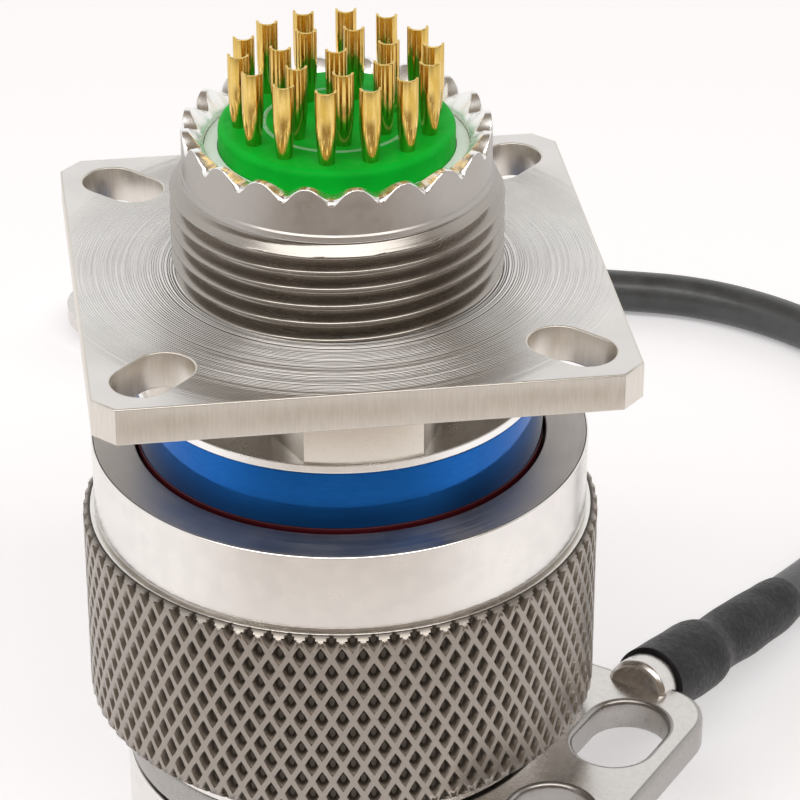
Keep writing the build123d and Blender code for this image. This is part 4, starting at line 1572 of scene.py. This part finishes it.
@dataclass
class Lanyard:
    """The cap's lanyard: swivel ring with its ear, rope and sleeves.

    Attributes:
        finishes: Shared materials.
        route: The rope's points, in the photograph's square axes.
        ear_az: Azimuth that the ear points to.
        ear_end: How far it reaches.
        ear_half: Half its width.
        eye_u: How far out its eyes lie.
        eye_v: How far they lie from its middle.
        eye_run: Half the length of their straight sides.
        ring_edge: Radius of the ring's edges.
        barrel_length: How far the crimp barrel goes along the rope.
        barrel_root: How far back it starts.
        barrel_bevel: Size of the bevel at that end.
        crimp: The dent where it is pressed on the rope: depth, and place along the rope.
        sleeve_r: Radius of the near sleeve over the rope.
        sleeve_swell: How much wider it is over the barrel.
        sleeve_start: How far before the rope's first point it begins.
        sleeve_end: Where it ends along the rope.
        far_sleeve_r: Radius of the far sleeve.
        far_sleeve_ends: Where it begins and ends, back from the rope's end.
        lip: How far the sleeves' ends turn in.
    """

    finishes: Finishes
    route: tuple[Place, ...] = (
        (18.9, 3.4, 6.5), (24.4, 11.6, 4.45), (30.6, 21.4, 2.3), (36.8, 30.2, 1.6), (39.7, 40.8, 1.53),
        (36.6, 51.2, 1.53), (27.4, 59.2, 1.53), (17.0, 60.8, 1.6), (2.5, 61.3, 1.98), (-9.5, 58.7, 2.02))
    rope_r: float = 1.5
    rope_length: float = 103.06
    ring_in: float = 10.4
    ring_out: float = 12.45
    ring_low: float = 5.5
    ring_top: float = 7.5
    ear_az: float = -37.9
    ear_end: float = 19.4
    ear_half: float = 10.3
    ear_corner: float = 3.0
    eye_u: float = 15.75
    eye_v: float = 4.7
    eye_r: float = 2.3
    eye_run: float = 1.0
    barrel_r: float = 1.95
    barrel_length: float = 4.4
    barrel_root: float = 3.4
    barrel_bevel: float = 0.25
    crimp: tuple[Point, ...] = ((0.0, 0.9), (0.12, 1.3), (0.16, 2.2), (0.12, 3.0), (0.0, 3.4))
    ring_edge: float = 0.28
    sleeve_r: float = 1.74
    sleeve_swell: float = 0.48
    sleeve_start: float = 1.7
    sleeve_end: float = 15.3
    far_sleeve_r: float = 1.9
    far_sleeve_ends: Point = (14.0, 5.8)
    lip: float = 0.12

    def build(self) -> None:
        """Builds and dresses every piece of the lanyard."""
        curve = self.spline()
        path = Path(curve)
        rope = self.rope(curve)
        sleeves = self.sleeves(path)
        self.ring()
        start = tuple(c * MM for c in turned_with_view(*self.route[0]))
        self.rope_length * MM
        2 * self.rope_r * MM

    def spline(self) -> bpy.types.Object:
        """The rope's route as a curve with no bevel.

        Returns:
            The curve's object.
        """
        curve = bpy.data.curves.new("rope", "CURVE")
        curve.dimensions = "3D"
        curve.resolution_u = 24
        line = curve.splines.new("NURBS")
        line.points.add(len(self.route) - 1)
        for point, place in zip(line.points, self.route):
            point.co = (*(c * MM for c in turned_with_view(*place)), 1.0)
        line.order_u = 3
        line.use_endpoint_u = True
        return linked("rope", curve)

    def rope(self, obj: bpy.types.Object) -> bpy.types.Object:
        """Gives the route its thickness and makes it the lanyard's rope.

        Args:
            obj: The route.

        Returns:
            The same object.
        """
        obj.data.bevel_depth = self.rope_r * MM
        obj.data.bevel_resolution = 8
        obj.data.use_fill_caps = True
        obj.data.materials.append(self.finishes.rope)
        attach(obj, "lanyard")
        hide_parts("lanyard_rope")
        return obj

    def sleeves(self, path: Path) -> list[bpy.types.Object]:
        """The two shrunk sleeves: wide over the metal barrels, drawn in at the rope.

        Args:
            path: The rope's middle.

        Returns:
            Both pieces.
        """
        near, far = Form(), Form()
        s = np.linspace(-self.sleeve_start, self.sleeve_end, 90)
        t = (s + self.sleeve_start) / (self.sleeve_end + self.sleeve_start)
        # It is wide over the barrel, swells a little at 9 mm, and draws in over its last tenth.
        over_barrel = 1 / (1 + np.exp((s - self.barrel_length - 0.6) / 0.35))
        bump, tail = np.exp(-((s - 9.0) / 2.2) ** 2), np.clip((t - 0.9) / 0.1, 0, 1) ** 2
        radii = self.sleeve_r + self.sleeve_swell * over_barrel + 0.07 * bump - 0.16 * tail
        self.sleeve(path, near, s, radii, self.barrel_r + 0.01)
        first, last = self.far_sleeve_ends
        s = np.linspace(path.length - first, path.length - last, 40)
        t = (s - s[0]) / (s[-1] - s[0])
        head = (1 - np.clip(t / 0.3, 0, 1)) ** 1.5
        self.sleeve(path, far, s, self.far_sleeve_r - 0.28 * head, self.rope_r - HAIR)
        return [form.piece(name + "_dressed", "lanyard", (self.finishes.sleeve,), "black_sleeve", (name,))
                for name, form in (("near_sleeve", near), ("far_sleeve", far))]

    def sleeve(self, path: Path, form: Form, lengths: np.ndarray, radii: np.ndarray,
               start_in: float) -> None:
        """One sleeve: its outside, rounded lips, and a wall that turns in at both ends.

        Args:
            path: The rope's middle.
            form: Where it goes.
            lengths: Where its rings stand.
            radii: Radius of each ring.
            start_in: Inner radius at its first end.
        """
        lip = self.lip
        ends = np.concatenate([lengths[:1], lengths[:1] + HAIR, lengths[:1] + lip, lengths[1:-1],
                               lengths[-1:] - lip, lengths[-1:] - HAIR, lengths[-1:]])
        body = np.interp(ends[2:-2], lengths, radii)
        rings = np.concatenate([[start_in, radii[0] - lip], body, [radii[-1] - lip, self.rope_r - HAIR]])
        path.tube(form, ends, rings, 0.03)

    def ring(self) -> None:
        """The flat ring, its two-eyed ear and its crimp barrel."""
        form = Form()
        eyes = [self.eye_outline(side * self.eye_v) for side in (-1, 1)]
        form.plate(self.ear_outline, [*eyes, circle(self.ring_in)], self.ring_low, self.ring_top,
                   self.ring_edge, (0, 1))
        start, after = (np.array(turned_with_view(*p)) for p in self.route[:2])
        way = (after - start) / np.linalg.norm(after - start)
        side = np.cross(way, (0.0, 0.0, 1.0))
        side /= np.linalg.norm(side)
        over = np.cross(side, way)
        turn = np.linspace(0, TURN, 64, endpoint=False)
        wall = np.outer(np.cos(turn), side) + np.outer(np.sin(turn), over)
        r, root, out, bore = self.barrel_r - 0.01, self.barrel_root, self.barrel_length, self.rope_r + HAIR
        bevel, dent = self.barrel_bevel, [(r - deep, place) for deep, place in self.crimp]
        outline = [(0.0, -root), (r - bevel, -root), (r, -root + bevel), *dent, (r, out - 0.15),
                   (r - 0.1, out), (bore, out), (bore, 0.5), (0.0, 0.5)]
        form.rows([start + way * s + wall * radius for radius, s in eased(outline, 0.3)][::-1])
        form.piece("swivel_ring_dressed", "lanyard", (self.finishes.steel, self.finishes.steel_side_shaded),
                   "ring_steel", ("swivel_ring",))

    def ear_outline(self, inset: float) -> np.ndarray:
        """The ring's outer loop: a circle that runs into the ear.

        Args:
            inset: How far in it lies.

        Returns:
            The loop, anticlockwise.
        """
        r, corner = self.ring_out - inset, self.ear_corner - inset
        half, end = self.ear_half - inset, self.ear_end - inset
        meet = math.degrees(math.asin(half / r))
        line = [arc(end - corner, -half + corner, corner, -90, 0, 16),
                arc(end - corner, half - corner, corner, 0, 90, 16), arc(0, 0, r, meet, 360 - meet, 190)]
        return spun(np.concatenate(line), self.ear_az)

    def eye_outline(self, v: float) -> Outline:
        """One eye of the ear.

        Args:
            v: How far it lies from the ear's middle.

        Returns:
            Its loop at any inset, clockwise.
        """

        def outline(inset: float) -> np.ndarray:
            """The loop at an inset.

            Args:
                inset: How far in it lies.

            Returns:
                The loop.
            """
            ends = [arc(self.eye_u, v + side * self.eye_run, self.eye_r + inset, start, start - 180, 25)
                    for side, start in ((1, 180), (-1, 0))]
            return spun(np.concatenate(ends), self.ear_az)

        return outline


def cad_node(name: str) -> bpy.types.Object:
    """A CAD node's object."""
    return bpy.data.objects[name]


def dress_nodes(finishes: Finishes) -> None:
    """Gives the CAD nodes that stay as they are their finishes.

    Args:
        finishes: Shared materials.
    """
    for name, material in (("retaining_ring", finishes.white), ("contact_insert", finishes.resin),
                           ("interface_seal", finishes.grey_rubber), ("cap_gasket", finishes.black_rubber),
                           ("far_terminal", finishes.steel)):
        node = cad_node(name)
        node.data.materials.clear()
        node.data.materials.append(material)


@dataclass
class Studio:
    """Camera, floor, lights and surroundings. Distances in millimetres.

    Attributes:
        eye: Where the camera stands.
        target: What it looks at.
        view_deg: Its angle of view.
        floor_half: Half the floor's width.
        floor_colours: The floor's darker and lighter places.
        lift: Light that the floor adds where it is seen, directly or in a reflection.
        key_elevation: Height of the soft light over the horizon, in degrees.
        key_distance: How far it stands from the target.
        key_size: Its width and height.
        key_radiance: How bright its face is.
        dim_turn_deg: How far the room's dim part is turned from the camera's side.
        dim_ahead: Cosines of the angles to its middle where it begins and is full.
        dim_low: Sines of the angles over the horizon where it begins and is full.
        dim_top: The same for the dim part overhead, which goes all round.
        dim_colour: Its colour.
        card_far: Half the brown card's width.
        card_high: Its height over the floor.
        card_fade: Distances from the connector where the card begins and is full.
        card_turn: Cosines of the angles to the front where it begins and is full.
        card_colour: Its colour.
    """

    eye: Place = (-20.2555, -170.3773, 127.0223)
    target: Place = (3.3243, -0.4613, 27.336)
    view_deg: float = 12.755
    floor_half: float = 1500.0
    floor_colours: tuple[Colour, Colour] = ((0.86, 0.85, 0.875), (0.88, 0.87, 0.89))
    lift: float = 0.3
    key_elevation: float = 60.0
    key_distance: float = 420.0
    key_size: Point = (760.0, 170.0)
    key_radiance: float = 3.4
    dim_turn_deg: float = 18.0
    dim_ahead: Point = (0.0, 0.55)
    dim_low: Point = (-0.2, 0.05)
    dim_top: Point = (0.62, 0.85)
    dim_colour: Colour = (0.22, 0.175, 0.13)
    card_far: float = 130.0
    card_high: float = 0.8
    card_fade: Point = (22.0, 85.0)
    card_turn: Point = (0.35, 0.95)
    card_colour: Colour = (0.4, 0.31, 0.235)

    def build(self) -> None:
        """Sets up the whole studio."""
        self.camera()
        self.floor()
        self.key_light()
        self.card()
        self.surroundings()
        bpy.context.scene.view_settings.view_transform = "Standard"

    def camera(self) -> None:
        """The camera at the photograph's view."""
        lens = bpy.data.cameras.new("camera")
        lens.angle = math.radians(self.view_deg)
        lens.clip_start = 0.01
        obj = linked("camera", lens)
        obj.location = Vector(self.eye) * MM
        obj.rotation_euler = (Vector(self.target) - Vector(self.eye)).to_track_quat("-Z", "Y").to_euler()
        bpy.context.scene.camera = obj

    def floor(self) -> None:
        """A plain pale floor."""
        obj = self.sheet("floor", self.floor_half, 0.0)
        shader = Shader("floor")
        cloud = shader.noise(shader.place(), 0.004)
        camera = shader.node("ShaderNodeLightPath", output="Is Camera Ray")
        seen = camera.math("MAXIMUM", camera.out("Is Glossy Ray"))
        seen = seen.math("MAXIMUM", camera.out("Is Transmission Ray"))
        obj.data.materials.append(shader.surface(
            Base_Color=shader.mix(cloud, *self.floor_colours), Roughness=0.85,
            Specular_IOR_Level=0.1, Emission_Color=shader.mix(seen, (0.0, 0.0, 0.0), (self.lift,) * 3),
            Emission_Strength=1.0))

    def card(self) -> None:
        """A soft-edged brown card on the floor in front, which only reflections show."""
        obj = self.sheet("card", self.card_far, self.card_high)
        obj.visible_camera = obj.visible_diffuse = obj.visible_shadow = False
        shader = Shader("card")
        x, y, _ = shader.axes()
        spin = math.radians(VIEW_TURN_DEG)
        reach = (x * x + y * y) ** 0.5
        ahead = (x * math.sin(spin) - y * math.cos(spin)) / reach
        near = reach.span(*self.card_fade)
        far = 1.0 - reach.span(self.card_far * 0.75, self.card_far)
        cover = near * far * ahead.span(*self.card_turn)
        obj.data.materials.append(shader.surface(
            Base_Color=(0.0, 0.0, 0.0), Roughness=1.0, Specular_IOR_Level=0.0, Alpha=cover,
            Emission_Color=self.card_colour, Emission_Strength=1.0))

    def sheet(self, name: str, half: float, height: float) -> bpy.types.Object:
        """A level square about the axis.

        Args:
            name: Its name.
            half: Half its width.
            height: Its height.

        Returns:
            Its object.
        """
        mesh = bpy.data.meshes.new(name)
        corners = [(-half, -half), (half, -half), (half, half), (-half, half)]
        mesh.from_pydata([(x * MM, y * MM, height * MM) for x, y in corners], [], [(0, 1, 2, 3)])
        return linked(name, mesh)

    def front(self) -> Vector:
        """The level direction from the connector to the camera."""
        return ((Vector(self.eye) - Vector(self.target)) * Vector((1, 1, 0))).normalized()

    def key_light(self) -> None:
        """A soft rectangular light on the camera's side."""
        light = bpy.data.lights.new("key", "AREA")
        light.shape = "RECTANGLE"
        light.size, light.size_y = (s * MM for s in self.key_size)
        light.energy = self.key_radiance * light.size * light.size_y * math.pi
        obj = linked("key", light)
        lift = math.radians(self.key_elevation)
        away = self.front() * math.cos(lift) + Vector((0, 0, math.sin(lift)))
        obj.location = (Vector(self.target) + away * self.key_distance) * MM
        obj.rotation_euler = (-away).to_track_quat("-Z", "Y").to_euler()

    def surroundings(self) -> None:
        """A white room that is dim overhead and in its upper front, where the photographer stands."""
        world = bpy.data.worlds.new("room")
        world.use_nodes = True
        bpy.context.scene.world = world
        tree = Tree(world.node_tree)
        x, y, z = tree.parts(tree.node("ShaderNodeTexCoord", output="Generated"))
        front = self.front()
        front.rotate(Quaternion((0, 0, 1), math.radians(self.dim_turn_deg)))
        ahead = x * front.x + y * front.y
        dim = ahead.span(*self.dim_ahead) * z.span(*self.dim_low)
        dark = 1.0 - (1.0 - dim) * (1.0 - z.span(*self.dim_top))
        colour = tree.mix(dark, (1.0, 1.0, 1.0), self.dim_colour)
        background = world.node_tree.nodes["Background"]
        tree.tree.links.new(colour.socket, background.inputs["Color"])


def main() -> None:
    """Builds the scene in order: studio, lanyard, cap, receptacle."""
    logging.basicConfig(level=logging.INFO, format="%(message)s")
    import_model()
    Studio().build()
    finishes = Finishes.build()
    Lanyard(finishes).build()
    ScrewCap(finishes).build()
    Receptacle(finishes).build()
    dress_nodes(finishes)


if __name__ == "__main__":
    main()
